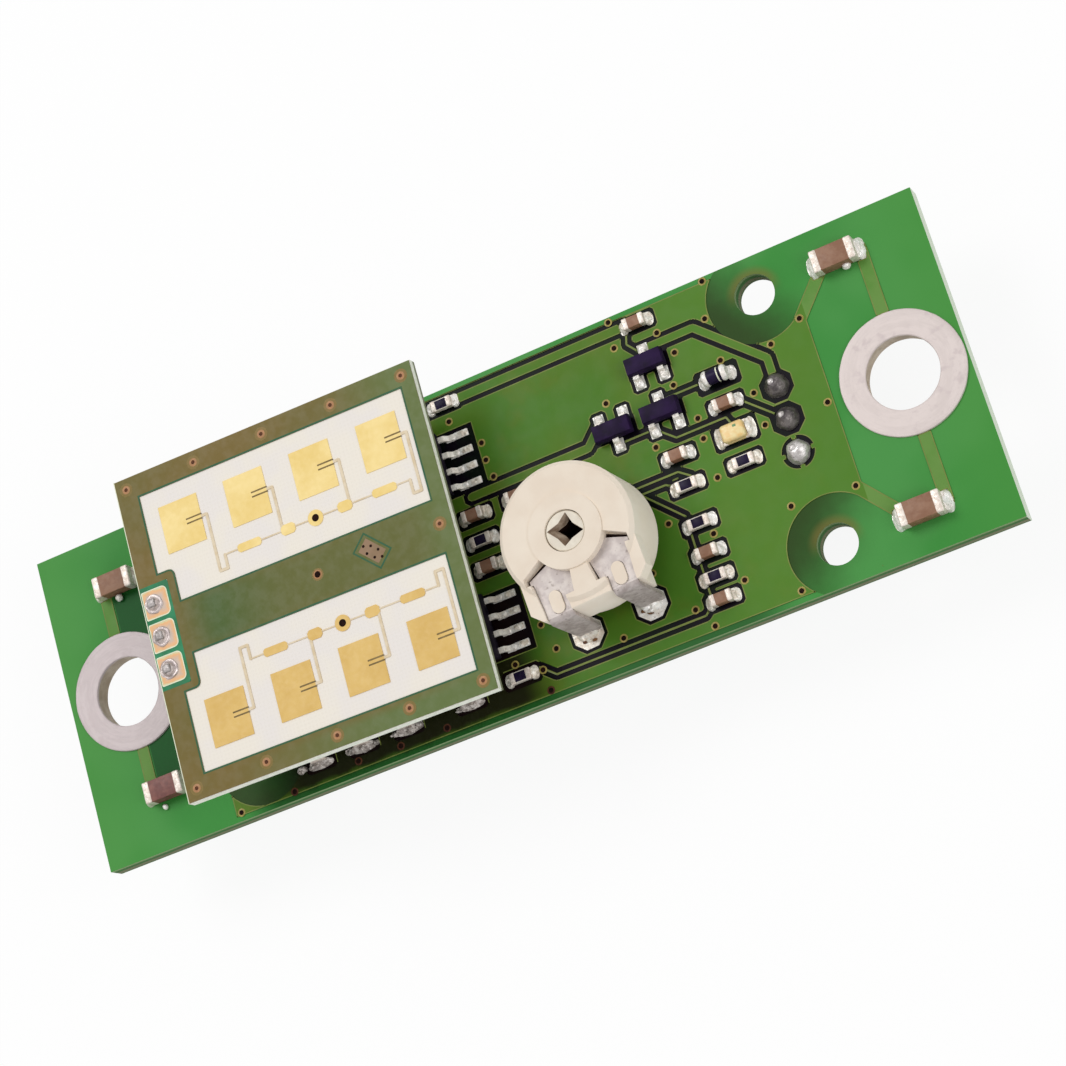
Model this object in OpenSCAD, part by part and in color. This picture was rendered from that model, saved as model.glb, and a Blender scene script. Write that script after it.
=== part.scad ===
// Radar motion sensor module: a populated circuit board with a square patch antenna module at one end,
// a round trimmer in the middle, and a mounting ring at each end. Millimetres, +Z up.
// The origin is midway between the two mounting rings, on the underside of the board.

/* [Board] */
// Length of the board along X
board_l = 73; // [72:0.5:90]
// Width of the board along Y
board_w = 25; // [24.6:0.2:34]
// Thickness of the laminate
board_t = 1.6; // [1:0.1:2.4]
// Thickness of the etched copper with the solder mask over it
foil_t = 0.06; // [0.04:0.01:0.12]
// Gap etched round a track
track_gap = 0.35; // [0.15:0.05:0.4]
// Gap etched round a solder pad
pad_gap = 0.25; // [0.15:0.05:0.35]
// Bare laminate between the copper area and the long edges
pour_edge = 0.4; // [0.2:0.1:0.8]
// Bare laminate beyond the copper area at the left end
bare_left = 11.2; // [11:0.1:11.6]

/* [Mounting] */
// Distance of a mounting ring's axis from the end of the board
ring_edge = 4.86; // [4.7:0.01:5.2]
// Bore radius of the mounting rings
ring_bore_r = 2.7; // [2.2:0.1:3]
// Outer radius of the mounting rings
ring_r = 4.54; // [4:0.02:4.6]
// Height of a ring's flange above the laminate
ring_flange = 0.2; // [0.1:0.05:0.4]
// Radius of the small fixing holes
fix_hole_r = 1.5; // [1:0.1:1.8]
// Distance of the right-hand fixing holes from the right end
fix_right_inset = 13; // [12.5:0.1:13.6]
// Half the spacing of the right-hand fixing holes
fix_right_y = 9.6; // [9:0.1:10]
// Distance of the left-hand fixing holes from the left end
fix_left_inset = 14; // [13.6:0.1:14.6]
// Half the spacing of the left-hand fixing holes
fix_left_y = 8.55; // [8:0.05:8.8]
// Radius left free of copper round a fixing hole
keep_out_r = 3.6; // [3:0.1:4]

/* [Antenna module] */
// Side of the square antenna substrate
module_side = 25; // [24:0.2:26]
// Thickness of the antenna substrate
substrate_t = 0.8; // [0.6:0.1:1.2]
// Height of the shield can
can_h = 3.8; // [3:0.1:6]
// Clear height between the board and the can
module_lift = 2.1; // [2:0.1:3]
// Wall of the shield can
can_wall = 0.4; // [0.3:0.1:0.8]
// Distance of the module's centre from the left end of the board
module_inset = 23.53; // [23.4:0.01:24]
// Offset of the module's centre across the board
module_y = 0.5; // [0:0.1:0.8]
// Turn of the module as it was soldered, in degrees
module_turn = -0.9; // [-1.5:0.1:1.5]
// Length of a radiating patch
patch_l = 3.24; // [2.8:0.02:3.6]
// Width of a radiating patch
patch_w = 3.66; // [3:0.02:4]
// Clear laminate before the first patch of a row
row_margin_left = 1.26; // [0.8:0.02:1.8]
// Clear laminate after the last patch of a row, where a feed line runs down
row_margin_right = 0.9; // [0.8:0.02:1.2]
// Clear laminate between a row of patches and the frame beside it
row_margin_side = 1.37; // [0.9:0.01:1.6]
// Side of a square pin
pin_side = 0.64; // [0.5:0.02:0.7]
// Pitch of the pins
pin_pitch = 2.54; // [2.5:0.02:2.6]

/* [Trimmer] */
// Radius of the round housing
trimmer_r = 5; // [4.8:0.1:5.4]
// Height of the housing's top above the board
trimmer_top = 6.5; // [6.2:0.1:7.5]
// Height of the housing's underside above the board
trimmer_foot = 1.5; // [1.2:0.1:1.7]
// Radius of the raised collar round the rotor
collar_r = 2.72; // [2.5:0.02:2.9]
// Radius of the rotor's head
rotor_r = 1.45; // [1.2:0.05:1.6]
// Running clearance round the rotor
rotor_gap = 0.05; // [0.03:0.01:0.1]
// Distance of the trimmer's axis from the left end of the board
trimmer_inset = 43.6; // [43.2:0.1:43.8]
// Offset of the trimmer's axis across the board
trimmer_y = -3.4; // [-3.6:0.1:-3]
// Turn of the trimmer as it was soldered, in degrees
trimmer_turn = 3.3; // [-4:0.1:4]
// Turn of the rotor's driver slot at rest, in degrees
slot_turn = -20; // [-45:1:45]
// Half the spacing of the two front terminals
terminal_half = 2.54; // [2.4:0.02:2.6]
// Width of a terminal strip
terminal_w = 1.9; // [1.2:0.1:2.1]
// Thickness of the terminal sheet
terminal_t = 0.3; // [0.2:0.05:0.4]

/* [Components] */
// Length of a small chip
chip_l = 1.65; // [1.5:0.05:1.8]
// Width of a small chip
chip_w = 0.85; // [0.7:0.05:0.95]
// Height of a small capacitor
chip_h = 0.8; // [0.5:0.05:1]
// Height of a small resistor
resistor_h = 0.5; // [0.35:0.05:0.7]
// Length of a large capacitor at the board's ends
edge_chip_l = 3.2; // [3:0.05:3.4]
// Width of a large capacitor
edge_chip_w = 1.65; // [1.4:0.05:1.8]
// Height of a large capacitor
edge_chip_h = 1.2; // [0.8:0.1:1.5]
// Length of the moulded body of a transistor
sot_l = 2.95; // [2.8:0.05:3.1]
// Width of the moulded body of a transistor
sot_w = 1.35; // [1.2:0.05:1.5]
// Height of a transistor
sot_h = 1.05; // [0.9:0.05:1.2]
// Length of the moulded body of an amplifier chip
soic_l = 4.9; // [4.6:0.1:5]
// Width of the moulded body of an amplifier chip
soic_w = 3.9; // [3.6:0.1:4]
// Height of an amplifier chip
soic_h = 1.7; // [1.4:0.05:1.75]
// Length of the header's pins below the board
header_drop = 7.7; // [6:0.1:9]
// Height of the header's spacer
spacer_h = 2.5; // [2:0.1:3]

/* [Hidden] */
$fn = 48;
eps = 0.01;

// Ends and edges of the board. The outline sits a little off the drilled pattern, as it was cut.
outline_shift = [-0.2, -0.1];
left_x = outline_shift.x - board_l / 2;
right_x = outline_shift.x + board_l / 2;
low_y = outline_shift.y - board_w / 2;
ring_x = board_l / 2 - ring_edge;

// Places on the board. The left datum carries the module, the trimmer and the chips, and the right end
// carries its ring, its fixing holes, its capacitors and the header.
datum_inset = 36.5;
header_inset = 13.56;
header_y = 0.13;
edge_chip_right_dx = 1.8;
edge_chip_left_dx = 1.35;
fix_right_x = board_l / 2 - fix_right_inset;
fix_left_x = -board_l / 2 + fix_left_inset;
module_x = -board_l / 2 + module_inset;
trimmer_x = -board_l / 2 + trimmer_inset;
datum_x = -board_l / 2 + datum_inset;
header_x = board_l / 2 - header_inset;
edge_chip_right_x = ring_x - edge_chip_right_dx;
edge_chip_left_x = -ring_x + edge_chip_left_dx;
edge_chip_right_y = 9.65;
edge_chip_left_y = 8.25;

// Rows and columns of small components
column_a_dx = 14.65;
column_b_dx = 19.1;
column_c_dx = -1.15;
sot_dx = 14.55;
switch_at = [10.8, 4.15];
soic_dx = -4;
under_y = -9.8;
under_dx = [-17.9, -14.3, -10.6, -5.4];
header_lane_dx = 18.5;
column_a = datum_x + column_a_dx;
column_b = datum_x + column_b_dx;
column_c = datum_x + column_c_dx;
sot_x = datum_x + sot_dx;
switch_x = datum_x + switch_at.x;
soic_x = datum_x + soic_dx;

// Drilled holes and what passes through them
barrel_wall = 0.25;
pin_hole_r = 0.5;
tail_w = 0.9;
tail_hole_r = 0.6;
tail_pad = 2.3;
land_shift = [-0.4, 0];
tail_joint_r = 1.05;
pin_inset = 0.94;
pin_above = 0.85;
pin_below = 1.1;
header_top = 0.45;
header_dome_r = 0.95;
spoke_w = 0.35;
pin_joint_r = 0.75;
pin_joint_h = 0.4;
joint_drop = 0.8;

// Corners of the copper area above and below the right-hand fixing holes
corner_cut = [2.5, -2.2];
bare_right = bare_left - 1.35;
pour_right_x = right_x - bare_right;

// Surface-mount footprints
pad_t = 0.05;
pad_under = 0.35;
joint_run = 0.45;
joint_rise = 0.55;
end_cap = 0.38;
cap_stand = 0.025;
led_size = [2.1, 1.4, 0.8];
wide_size = [1.6, 1.25, 0.6];
wide_spread = 0.4;
pad_side = 0.08;
gap_corner = 0.22;
diode_size = [2, 1.2, 1.2];
sot_pitch = 0.95;
sot_pad = [0.8, 1];
sot_reach = 1.6;
sot_foot = 1.25;
sot_lead_w = 0.42;
sot_lead_t = 0.13;
sot_draft = 0.08;
soic_pitch = 1.27;
soic_lead_w = 0.5;
soic_lead_t = 0.18;
soic_draft = 0.12;
body_stand = 0.1;
knee_at = 0.35;
ankle_at = 0.55;
soic_pad_in = 0.25;
soic_pad_l = 2;
soic_foot = soic_w / 2 + 1.05;

// Antenna module
module_top = module_lift + can_h + substrate_t;
ground_edge = 0.04;
window_left = -module_side / 2 + 1.8;
window_right = module_side / 2 - 1.2;
window_high = module_side / 2 - 1.8;
window_low = 2.05;
patch_pitch = (window_right - window_left - row_margin_left - row_margin_right - patch_l) / 3;
patch_row_y = window_high - row_margin_side - patch_w / 2;
pad_guard = [-module_side / 2 + 3.15, 4.6];
guard_r = 0.5;
pad_field = [2.45, 3.98];
pin_pad_l = 2.25;
pin_pad_w = 2.25;
inset_l = 1.25;
inset_half = 0.17;
slot_w = 0.12;
feed_w = 0.2;
thin_w = 0.1;
wide_w = 0.62;
widest_w = 0.78;
feed_y = 4.04;
feed_x = 2.48;
feed_hole_r = 0.28;
feed_pad_r = 0.6;
drop_gap = 0.45;
// Start and length of the wider stretches of the feed line, from the turn before them
outer_match = [1.1, 1.95];
inner_match = [-0.15, 1.15];
loop_w = 0.65;
loop_d = 1.05;
tuning_via = [1.56, 0];
ground_island = [6.05, 0.14];
island_size = [2.55, 1.65];
island_line = 0.1;
can_left = -module_side / 2 + 2.6;
can_right = module_side / 2 - 1.8;
can_half = module_side / 2 - 1.8;
oscillator_size = [2.2, 1.3, 0.9];
oscillator_x = -4;
mixer_size = [2.9, 1.3, 1];

// Trimmer, heights above the board
plate_gap = 0.06;
bevel = 0.3;
collar_h = 0.12;
front_y = trimmer_r + 0.2;
front_drop = 3.9;
front_half = 3.7;
shoulder_half = trimmer_r - 0.5;
shoulder_cut = 0.7;
shoulder_back = 2.2;
shoulder_drop = 1.6;
recess_floor = trimmer_top - 0.9;
cavity_r = trimmer_r - 0.5;
cavity_top = recess_floor - 0.4;
track_t = 0.5;
track_in = 2.2;
track_out = cavity_r - 0.1;
track_open = 24;
collector_z = trimmer_foot + 0.5;
collector_in = 0.9;
collector_out = 2.4;
flange_r = 3.4;
flange_t = 0.8;
flange_z = collector_z + terminal_t + rotor_gap;
wiper_z = flange_z + flange_t;
wiper_t = 0.2;
wiper_in = rotor_r + 0.1;
wiper_out = 2.8;
wiper_arm_w = 0.8;
wiper_reach = 3.5;
wiper_tip_r = 0.15;
star_out = 1.2;
star_in = 0.5;
peg_at = [2.45, 4.25];
peg_r = 0.46;
peg_run = 0.75;
peg_up = 0.15;
plate_inner = [0.7, 2.7];
plate_peak = [2.45, 1.15];
plate_outer = [4, 2.05];
plate_ear = [0.16, 2.5];
plate_step = [0.93, 4.15];
plate_slope = 0.4;
strip_foot = 0.15;
tail_y = -(front_y + plate_gap + terminal_t / 2);
collector_y = trimmer_r + plate_gap + terminal_t / 2;

// Tracks inside the copper area: points and width
rail_y = 11.25;
low_rail_y = -10.95;
bus_x = column_a - 0.8;
thin_track = 0.14;
TRACKS = [
    [[[header_x, header_y + pin_pitch], [header_x, 4.85], [datum_x + header_lane_dx, 9.1], [sot_x, 9.1]], 0.6],
    [[[header_x, header_y], [column_b + 1.2, 2.6]], thin_track],
    [[[sot_x + 0.5, 5], [column_b - 1, 5]], thin_track],
    [[[sot_x - 0.9, 3.1], [sot_x + 0.4, 1.95], [column_b - 0.3, 1.95], [column_b, 1.2]], thin_track],
    [[[switch_x, 3.15], [sot_x - sot_pitch, 3.15]], thin_track],
    [[[datum_x + 9.3, -0.45], [column_a - 0.35, -0.45], [column_a + 0.5, -1.1]], thin_track],
    [[[datum_x + 9.3, -1], [column_a - 1.5, -1], [column_a - 0.9, -1.4]], thin_track],
    [[[datum_x + 10.4, -0.2], [bus_x, -3.7]], thin_track],
    [[[bus_x, -4.5], [bus_x, -9.9]], thin_track],
    [[[bus_x, -10.3], [datum_x + 13.1, low_rail_y], [datum_x + 1.4, low_rail_y],
        [datum_x + 0.3, -10]], thin_track],
    [[[column_c + 0.9, rail_y], [column_a - 0.9, rail_y]], 0.7],
    [[[datum_x - 1, 3.75], [datum_x + 8.5, 3.75], [datum_x + 9.75, 5]], 0.65],
    [[[column_a - 0.9, 10.8], [datum_x + 13.5, 9.9], [sot_x - 0.3, 9]], thin_track],
];
// Tracks outside the copper area, to the mounting rings and the capacitors at the ends
EDGE_TRACKS = [
    [[[ring_x, ring_r - 0.3], [ring_x, edge_chip_right_y]], 0.95],
    [[[ring_x, -ring_r + 0.3], [ring_x, -edge_chip_right_y]], 0.95],
    [[[-ring_x, ring_r - 0.3], [-ring_x, edge_chip_left_y]], 0.95],
    [[[-ring_x, -ring_r + 0.3], [-ring_x, -edge_chip_left_y]], 0.95],
    [[[pour_right_x - 0.45, 6.5], [edge_chip_right_x - 1.05, edge_chip_right_y]], 0.95],
    [[[pour_right_x - 0.45, -6.3], [edge_chip_right_x - 1.05, -edge_chip_right_y]], 0.95],
];

// Name, kind, place and turn of each chip
CHIPS = [
    ["edge_capacitor_right_upper", "edge", [edge_chip_right_x, edge_chip_right_y], 0],
    ["edge_capacitor_right_lower", "edge", [edge_chip_right_x, -edge_chip_right_y], 0],
    ["edge_capacitor_left_upper", "edge", [edge_chip_left_x, edge_chip_left_y], 0],
    ["edge_capacitor_left_lower", "edge", [edge_chip_left_x, -edge_chip_left_y], 0],
    ["supply_capacitor", "capacitor", [column_a, 11.1], 0],
    ["bypass_capacitor", "capacitor", [column_a, 0.6], 0],
    ["level_resistor", "resistor", [column_a, -1.65], 0],
    ["trimmer_resistor", "resistor", [column_a, -4.55], 0],
    ["timing_capacitor", "capacitor", [column_a, -6.8], 0],
    ["timing_resistor", "resistor", [column_a, -8.6], 0],
    ["output_capacitor", "capacitor", [column_a, -10.3], 0],
    ["signal_diode", "diode", [column_b, 4.9], 0],
    ["header_capacitor", "capacitor", [column_b, 2.85], 0],
    ["indicator_led", "led", [column_b, 0.6], 0],
    ["led_resistor", "resistor", [column_b, -1.6], 0],
    ["input_resistor", "resistor", [column_c, 11.2], 0],
    ["coupling_capacitor_upper", "capacitor", [column_c, 2.3], 0],
    ["gain_resistor", "resistor", [column_c, 0.35], 0],
    ["coupling_capacitor_lower", "capacitor", [column_c, -1.7], 0],
    ["bias_resistor", "resistor", [column_c, -10.2], 0],
    ["filter_capacitor", "capacitor", [datum_x + 2.4, 2.4], 0],
    ["low_edge_chip_1", "wide", [datum_x + under_dx[0], under_y], 90],
    ["low_edge_chip_2", "wide", [datum_x + under_dx[1], under_y], 90],
    ["low_edge_chip_3", "wide", [datum_x + under_dx[2], under_y], 90],
    ["low_edge_chip_4", "wide", [datum_x + under_dx[3], under_y], 90],
];

// Name, place and turn of each transistor and each amplifier chip
SOTS = [
    ["supply_transistor", [sot_x, 7.9], 0],
    ["output_transistor", [sot_x, 4.1], 0],
    ["switch_transistor", [switch_x, switch_at.y], 180],
];
SOICS = [
    ["amplifier_chip_upper", [soic_x, 6.65], 0],
    ["amplifier_chip_lower", [soic_x, -6.05], 0],
];

// Sizes of a chip of each kind: length, width and height
function chip_size(kind) =
    kind == "edge" ? [edge_chip_l, edge_chip_w, edge_chip_h]
    : kind == "led" ? led_size
    : kind == "diode" ? diode_size
    : kind == "wide" ? wide_size
    : [chip_l, chip_w, kind == "resistor" ? resistor_h : chip_h];
// How far the solder spreads sideways past a chip
function joint_spread(kind) = kind == "wide" ? wide_spread : kind == "edge" ? 0 : pad_side;
function chip_colour(kind) =
    kind == "edge" ? "#8f6450" : kind == "led" ? "#efe4b0" : kind == "capacitor" ? "#96694f" : "#231c33";

// A strip of even width along a run of points, with round joints
module track(points, width) {
    for (i = [0:len(points) - 2]) {
        step = points[i + 1] - points[i];
        translate(points[i]) rotate(atan2(step.y, step.x))
            translate([0, -width / 2]) square([norm(step), width]);
    }
    for (p = points) translate(p) rotate(22.5) circle(d = width, $fn = 8);
}

// A regular octagon with flat sides along X and Y
module octagon(across) rotate(22.5) circle(d = across / cos(22.5), $fn = 8);

// A rectangle about the origin with its corners cut off
module blunt_rectangle(size, cut) {
    x = size.x / 2;
    y = size.y / 2;
    polygon([
        [-x, -y + cut], [-x + cut, -y], [x - cut, -y], [x, -y + cut],
        [x, y - cut], [x - cut, y], [-x + cut, y], [-x, y - cut],
    ]);
}

// Puts its children at both ends, or at both sides, of the middle
module mirrored_x() { children(); mirror([1, 0, 0]) children(); }
module mirrored_y() { children(); mirror([0, 1, 0]) children(); }

module on_board() translate([0, 0, board_t]) children();
module at_chip(chip) translate(concat(chip[2], 0)) rotate(chip[3]) children();
module in_module(z = 0) translate([module_x, module_y, board_t + z]) rotate(module_turn) children();
module in_trimmer(z = 0) translate([trimmer_x, trimmer_y, board_t + z]) rotate(trimmer_turn) children();

// Places of the pins, in the frame of what they belong to
module pin_row() for (k = [-1:1]) translate([0, k * pin_pitch]) children();
module module_pin_row() translate([-module_side / 2 + pin_inset, 0]) pin_row() children();
module header_row() translate([header_x, header_y]) pin_row() children();
module terminal_tails() {
    mirrored_x() translate([terminal_half, tail_y]) children();
    translate([0, collector_y]) children();
}

// Outline of the board with all that is drilled through it
module drilled_holes() {
    mirrored_x() translate([ring_x, 0]) circle(ring_bore_r + barrel_wall);
    mirrored_y() translate([fix_right_x, fix_right_y]) circle(fix_hole_r);
    mirrored_y() translate([fix_left_x, fix_left_y]) circle(fix_hole_r);
    header_row() circle(pin_hole_r, $fn = 24);
    translate([module_x, module_y]) rotate(module_turn) module_pin_row() circle(pin_hole_r, $fn = 24);
    translate([trimmer_x, trimmer_y]) rotate(trimmer_turn) terminal_tails() circle(tail_hole_r, $fn = 24);
}

module main_board() {
    color("#3f8a3d") linear_extrude(board_t) difference() {
        translate(outline_shift) square([board_l, board_w], center = true);
        drilled_holes();
    }
}

// Copper area, cut back from the ends, the long edges and the fixing holes
module pour() {
    difference() {
        translate([left_x + bare_left, low_y + pour_edge])
            square([pour_right_x - left_x - bare_left, board_w - 2 * pour_edge]);
        mirrored_y() translate([fix_right_x, fix_right_y]) circle(keep_out_r);
        mirrored_y() translate([fix_right_x + corner_cut.x, fix_right_y + corner_cut.y])
            square(2 * keep_out_r);
        mirrored_y() translate([fix_left_x, fix_left_y]) circle(keep_out_r);
    }
}

// Footprints of the solder joints, grown by gap for the clearance round them
module chip_pads(kind, gap = 0) {
    size = chip_size(kind);
    half = size.y / 2 + joint_spread(kind) + gap;
    mirrored_x() translate([size.x / 2 - pad_under - gap, -half])
        square([pad_under + joint_run + 2 * gap, 2 * half]);
}
module sot_pads(gap = 0) {
    middle = sot_reach - sot_pad.y / 2;
    for (at = [[-sot_pitch, -middle], [sot_pitch, -middle], [0, middle]]) translate(at)
        if (gap > 0) blunt_rectangle([sot_pad.x + 2 * gap, sot_pad.y + 2 * gap], gap);
        else square(sot_pad, center = true);
}
module soic_pads() {
    mirrored_x() for (k = [-1.5:1.5])
        translate([soic_w / 2 + soic_pad_in, k * soic_pitch - soic_lead_w / 2])
            square([soic_pad_l, soic_lead_w]);
}
module soic_clearance() {
    square([soic_w + 2 * (soic_pad_in + soic_pad_l + track_gap), soic_l + 0.1], center = true);
}
module trimmer_lands(across) {
    translate([trimmer_x, trimmer_y]) rotate(trimmer_turn) translate(land_shift)
        terminal_tails() octagon(across);
}
module pads() {
    for (chip = CHIPS) translate(chip[2]) rotate(chip[3]) chip_pads(chip[1]);
    for (sot = SOTS) translate(sot[1]) rotate(sot[2]) sot_pads();
    for (soic = SOICS) translate(soic[1]) rotate(soic[2]) soic_pads();
    header_row() circle(header_dome_r, $fn = 24);
    trimmer_lands(tail_pad);
}
module clearances() {
    for (chip = CHIPS) translate(chip[2]) rotate(chip[3]) {
        size = chip_size(chip[1]);
        spread = joint_spread(chip[1]);
        length = size.x + 2 * (joint_run + pad_gap);
        if (chip[1] != "edge") blunt_rectangle([length, size.y + 2 * (spread + pad_gap)], gap_corner);
    }
    for (sot = SOTS) translate(sot[1]) rotate(sot[2]) {
        sot_pads(pad_gap);
        square([sot_l + track_gap, sot_w], center = true);
    }
    for (soic = SOICS) translate(soic[1]) rotate(soic[2]) soic_clearance();
    translate([header_x, header_y]) for (k = [0, 1]) translate([0, k * pin_pitch])
        octagon(2 * header_dome_r + 2 * pad_gap);
    translate([header_x, header_y - pin_pitch]) difference() {
        circle(header_dome_r + pad_gap, $fn = 24);
        for (turn = [0, 90]) rotate(turn) square([4 * header_dome_r, spoke_w], center = true);
    }
    trimmer_lands(tail_pad + 2 * pad_gap);
    for (t = TRACKS) track(t[0], t[1] + 2 * track_gap);
}

module top_copper() {
    color("#557a35") on_board() linear_extrude(foil_t) difference() {
        union() {
            difference() { pour(); clearances(); }
            for (t = concat(TRACKS, EDGE_TRACKS)) track(t[0], t[1]);
        }
        pads();
        drilled_holes();
        mirrored_x() translate([ring_x, 0]) circle(ring_r);
    }
}

// Tinned ring with a flange on each face and a barrel through the board
module mounting_ring() {
    color("#c9c1c2") rotate_extrude($fn = 96) {
        difference() {
            translate([ring_bore_r, -ring_flange]) square([ring_r - ring_bore_r, board_t + 2 * ring_flange]);
            translate([ring_bore_r + barrel_wall, 0]) square([ring_r, board_t]);
        }
    }
}
module mounting_ring_left() translate([-ring_x, 0, 0]) mounting_ring();
module mounting_ring_right() translate([ring_x, 0, 0]) mounting_ring();

// Antenna module, from the can up
module antenna_substrate() {
    color("#ece6dc") in_module(module_lift + can_h) linear_extrude(substrate_t) difference() {
        square(module_side, center = true);
        module_pin_row() circle(pin_hole_r, $fn = 24);
        mirrored_y() translate([feed_x, feed_y]) circle(feed_hole_r, $fn = 24);
    }
}

// Window in the ground frame over one row of patches, with a corner left out beside the pins
module window() {
    difference() {
        translate([window_left, window_low])
            square([window_right - window_left, window_high - window_low]);
        difference() {
            translate([window_left - eps, window_low - eps])
                square([pad_guard.x - window_left + eps, pad_guard.y - window_low + eps]);
            translate([pad_guard.x - guard_r, pad_guard.y - guard_r]) difference() {
                square(guard_r + eps);
                circle(guard_r, $fn = 24);
            }
        }
    }
}
module antenna_ground() {
    color("#6d6a3c") in_module(module_top) linear_extrude(foil_t) difference() {
        square(module_side - 2 * ground_edge, center = true);
        mirrored_y() window();
        translate([-module_side / 2, -pad_field.y]) square([pad_field.x, 2 * pad_field.y]);
        translate([tuning_via.x, tuning_via.y]) circle(feed_hole_r, $fn = 24);
        translate(ground_island) rotate(-45) difference() {
            square(island_size, center = true);
            square([island_size.x - 2 * island_line, island_size.y - 2 * island_line], center = true);
        }
    }
}

// Patch with two slots beside its feed line
module patch() {
    difference() {
        square([patch_l, patch_w], center = true);
        mirrored_y() translate([patch_l / 2 - inset_l, inset_half - slot_w / 2])
            square([inset_l + eps, slot_w]);
    }
}
// Wider stretch of the feed line with chamfered ends
module matching_section(x, length, width) {
    cut = width / 4;
    translate([x, feed_y - width / 2]) polygon([
        [0, cut], [cut, 0], [length - cut, 0], [length, cut],
        [length, width - cut], [length - cut, width], [cut, width], [0, width - cut],
    ]);
}
module patch_row() {
    first = window_left + row_margin_left + patch_l / 2;
    drop = patch_l / 2 + drop_gap;
    for (i = [0:3]) translate([first + i * patch_pitch, patch_row_y]) patch();
    for (i = [0:3]) {
        line_x = first + i * patch_pitch + drop;
        start_x = line_x - drop + patch_l / 2 - feed_w;
        turn_x = i == 0 ? line_x + loop_w : line_x - loop_w;
        loop = i == 1 || i == 2 ? [[line_x, feed_y]]
            : [[line_x, feed_y - loop_d], [turn_x, feed_y - loop_d], [turn_x, feed_y]];
        track(concat([[start_x, patch_row_y], [line_x, patch_row_y]], loop), feed_w);
    }
    start = first + drop + loop_w;
    stop = first + 3 * patch_pitch + drop - loop_w;
    second_x = first + patch_pitch + drop;
    third_x = second_x + patch_pitch;
    track([[start, feed_y], [stop, feed_y]], thin_w);
    matching_section(start + outer_match[0], outer_match[1], wide_w);
    matching_section(stop - outer_match[0] - outer_match[1], outer_match[1], wide_w);
    matching_section(second_x + inner_match[0], inner_match[1], widest_w);
    matching_section(third_x - inner_match[0] - inner_match[1], inner_match[1], widest_w);
    translate([feed_x, feed_y]) circle(feed_pad_r);
}
module antenna_patches() {
    color("#e6c265") in_module(module_top) linear_extrude(foil_t) mirrored_y() difference() {
        patch_row();
        translate([feed_x, feed_y]) circle(feed_hole_r, $fn = 24);
    }
}
module antenna_pin_pads() {
    color("#dcb98a") in_module(module_top) linear_extrude(foil_t) module_pin_row() difference() {
        translate([-pin_inset + ground_edge, -pin_pad_w / 2]) square([pin_pad_l, pin_pad_w]);
        circle(pin_hole_r, $fn = 24);
    }
}

// Drawn can, open at its rim against the substrate
module can_block(grow, height) {
    translate([can_left - grow, -can_half - grow, 0])
        cube([can_right - can_left + 2 * grow, 2 * (can_half + grow), height]);
}
module shield_can() {
    color("#b9bcc0") in_module(module_lift) difference() {
        can_block(0, can_h);
        translate([0, 0, can_wall]) can_block(-can_wall, can_h);
    }
}
module oscillator_transistor() {
    color("#2a2833") in_module(module_lift + can_h - oscillator_size.z)
        translate([oscillator_x, -oscillator_size.y / 2, 0]) cube(oscillator_size);
}
module mixer_diode() {
    color("#2a2833") in_module(module_lift + can_h - mixer_size.z)
        translate([feed_x - mixer_size.x / 2, -mixer_size.y / 2, 0]) cube(mixer_size);
}
module module_pins() {
    color("#a9a6a6") in_module() module_pin_row() translate([0, 0, -board_t - pin_below])
        linear_extrude(board_t + pin_below + module_top + pin_above) square(pin_side, center = true);
}
// Cone of solder round a square pin
module pin_joint(low_r, high_r, height) {
    difference() {
        cylinder(r1 = low_r, r2 = high_r, h = height, $fn = 32);
        translate([0, 0, -eps]) linear_extrude(height + 2 * eps) square(pin_side + 2 * eps, center = true);
    }
}
module module_pin_solder() {
    color("#cfc9c6") in_module(module_top + foil_t) module_pin_row()
        pin_joint(pin_joint_r, pin_side, pin_joint_h);
}

// Trimmer: a round housing with a flat front, a recess for each front terminal and a collar
module trimmer_block() {
    difference() {
        translate([0, 0, trimmer_foot]) rotate_extrude($fn = 96) polygon([
            [0, 0], [trimmer_r, 0], [trimmer_r, trimmer_top - trimmer_foot - bevel],
            [trimmer_r - bevel, trimmer_top - trimmer_foot], [0, trimmer_top - trimmer_foot],
        ]);
        translate([-2 * trimmer_r, -front_y - 2 * trimmer_r, 0])
            cube([4 * trimmer_r, 2 * trimmer_r, 2 * trimmer_top]);
    }
    translate([-front_half, -front_y, trimmer_top - front_drop])
        cube([2 * front_half, front_y - shoulder_back, front_drop - bevel]);
    translate([0, 0, trimmer_top - shoulder_drop]) linear_extrude(shoulder_drop - bevel) polygon([
        [-shoulder_half, -shoulder_back], [-shoulder_half, -front_y + shoulder_cut],
        [-shoulder_half + shoulder_cut, -front_y], [shoulder_half - shoulder_cut, -front_y],
        [shoulder_half, -front_y + shoulder_cut], [shoulder_half, -shoulder_back],
    ]);
    cylinder(r = collar_r, h = trimmer_top + collar_h);
}
// Flat part of a front terminal, grown by gap for the recess that holds it
module terminal_plate(gap = 0) {
    strip_in = terminal_half - terminal_w / 2 - gap;
    strip_out = terminal_half + terminal_w / 2 + gap;
    strip_end = front_y + plate_gap + terminal_t;
    polygon([
        [plate_inner.x - gap, -plate_inner.y + gap], [plate_peak.x, -plate_peak.y + gap],
        [plate_outer.x + gap, -plate_outer.y + gap], [plate_outer.x + gap, -plate_ear.y - gap],
        [strip_out + plate_ear.x, -plate_ear.y - gap], [strip_out, -plate_step.y - plate_slope],
        [strip_out, -strip_end], [strip_in, -strip_end],
        [strip_in, -plate_step.y - gap], [plate_step.x - gap, -plate_step.y - gap],
    ]);
}
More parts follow.
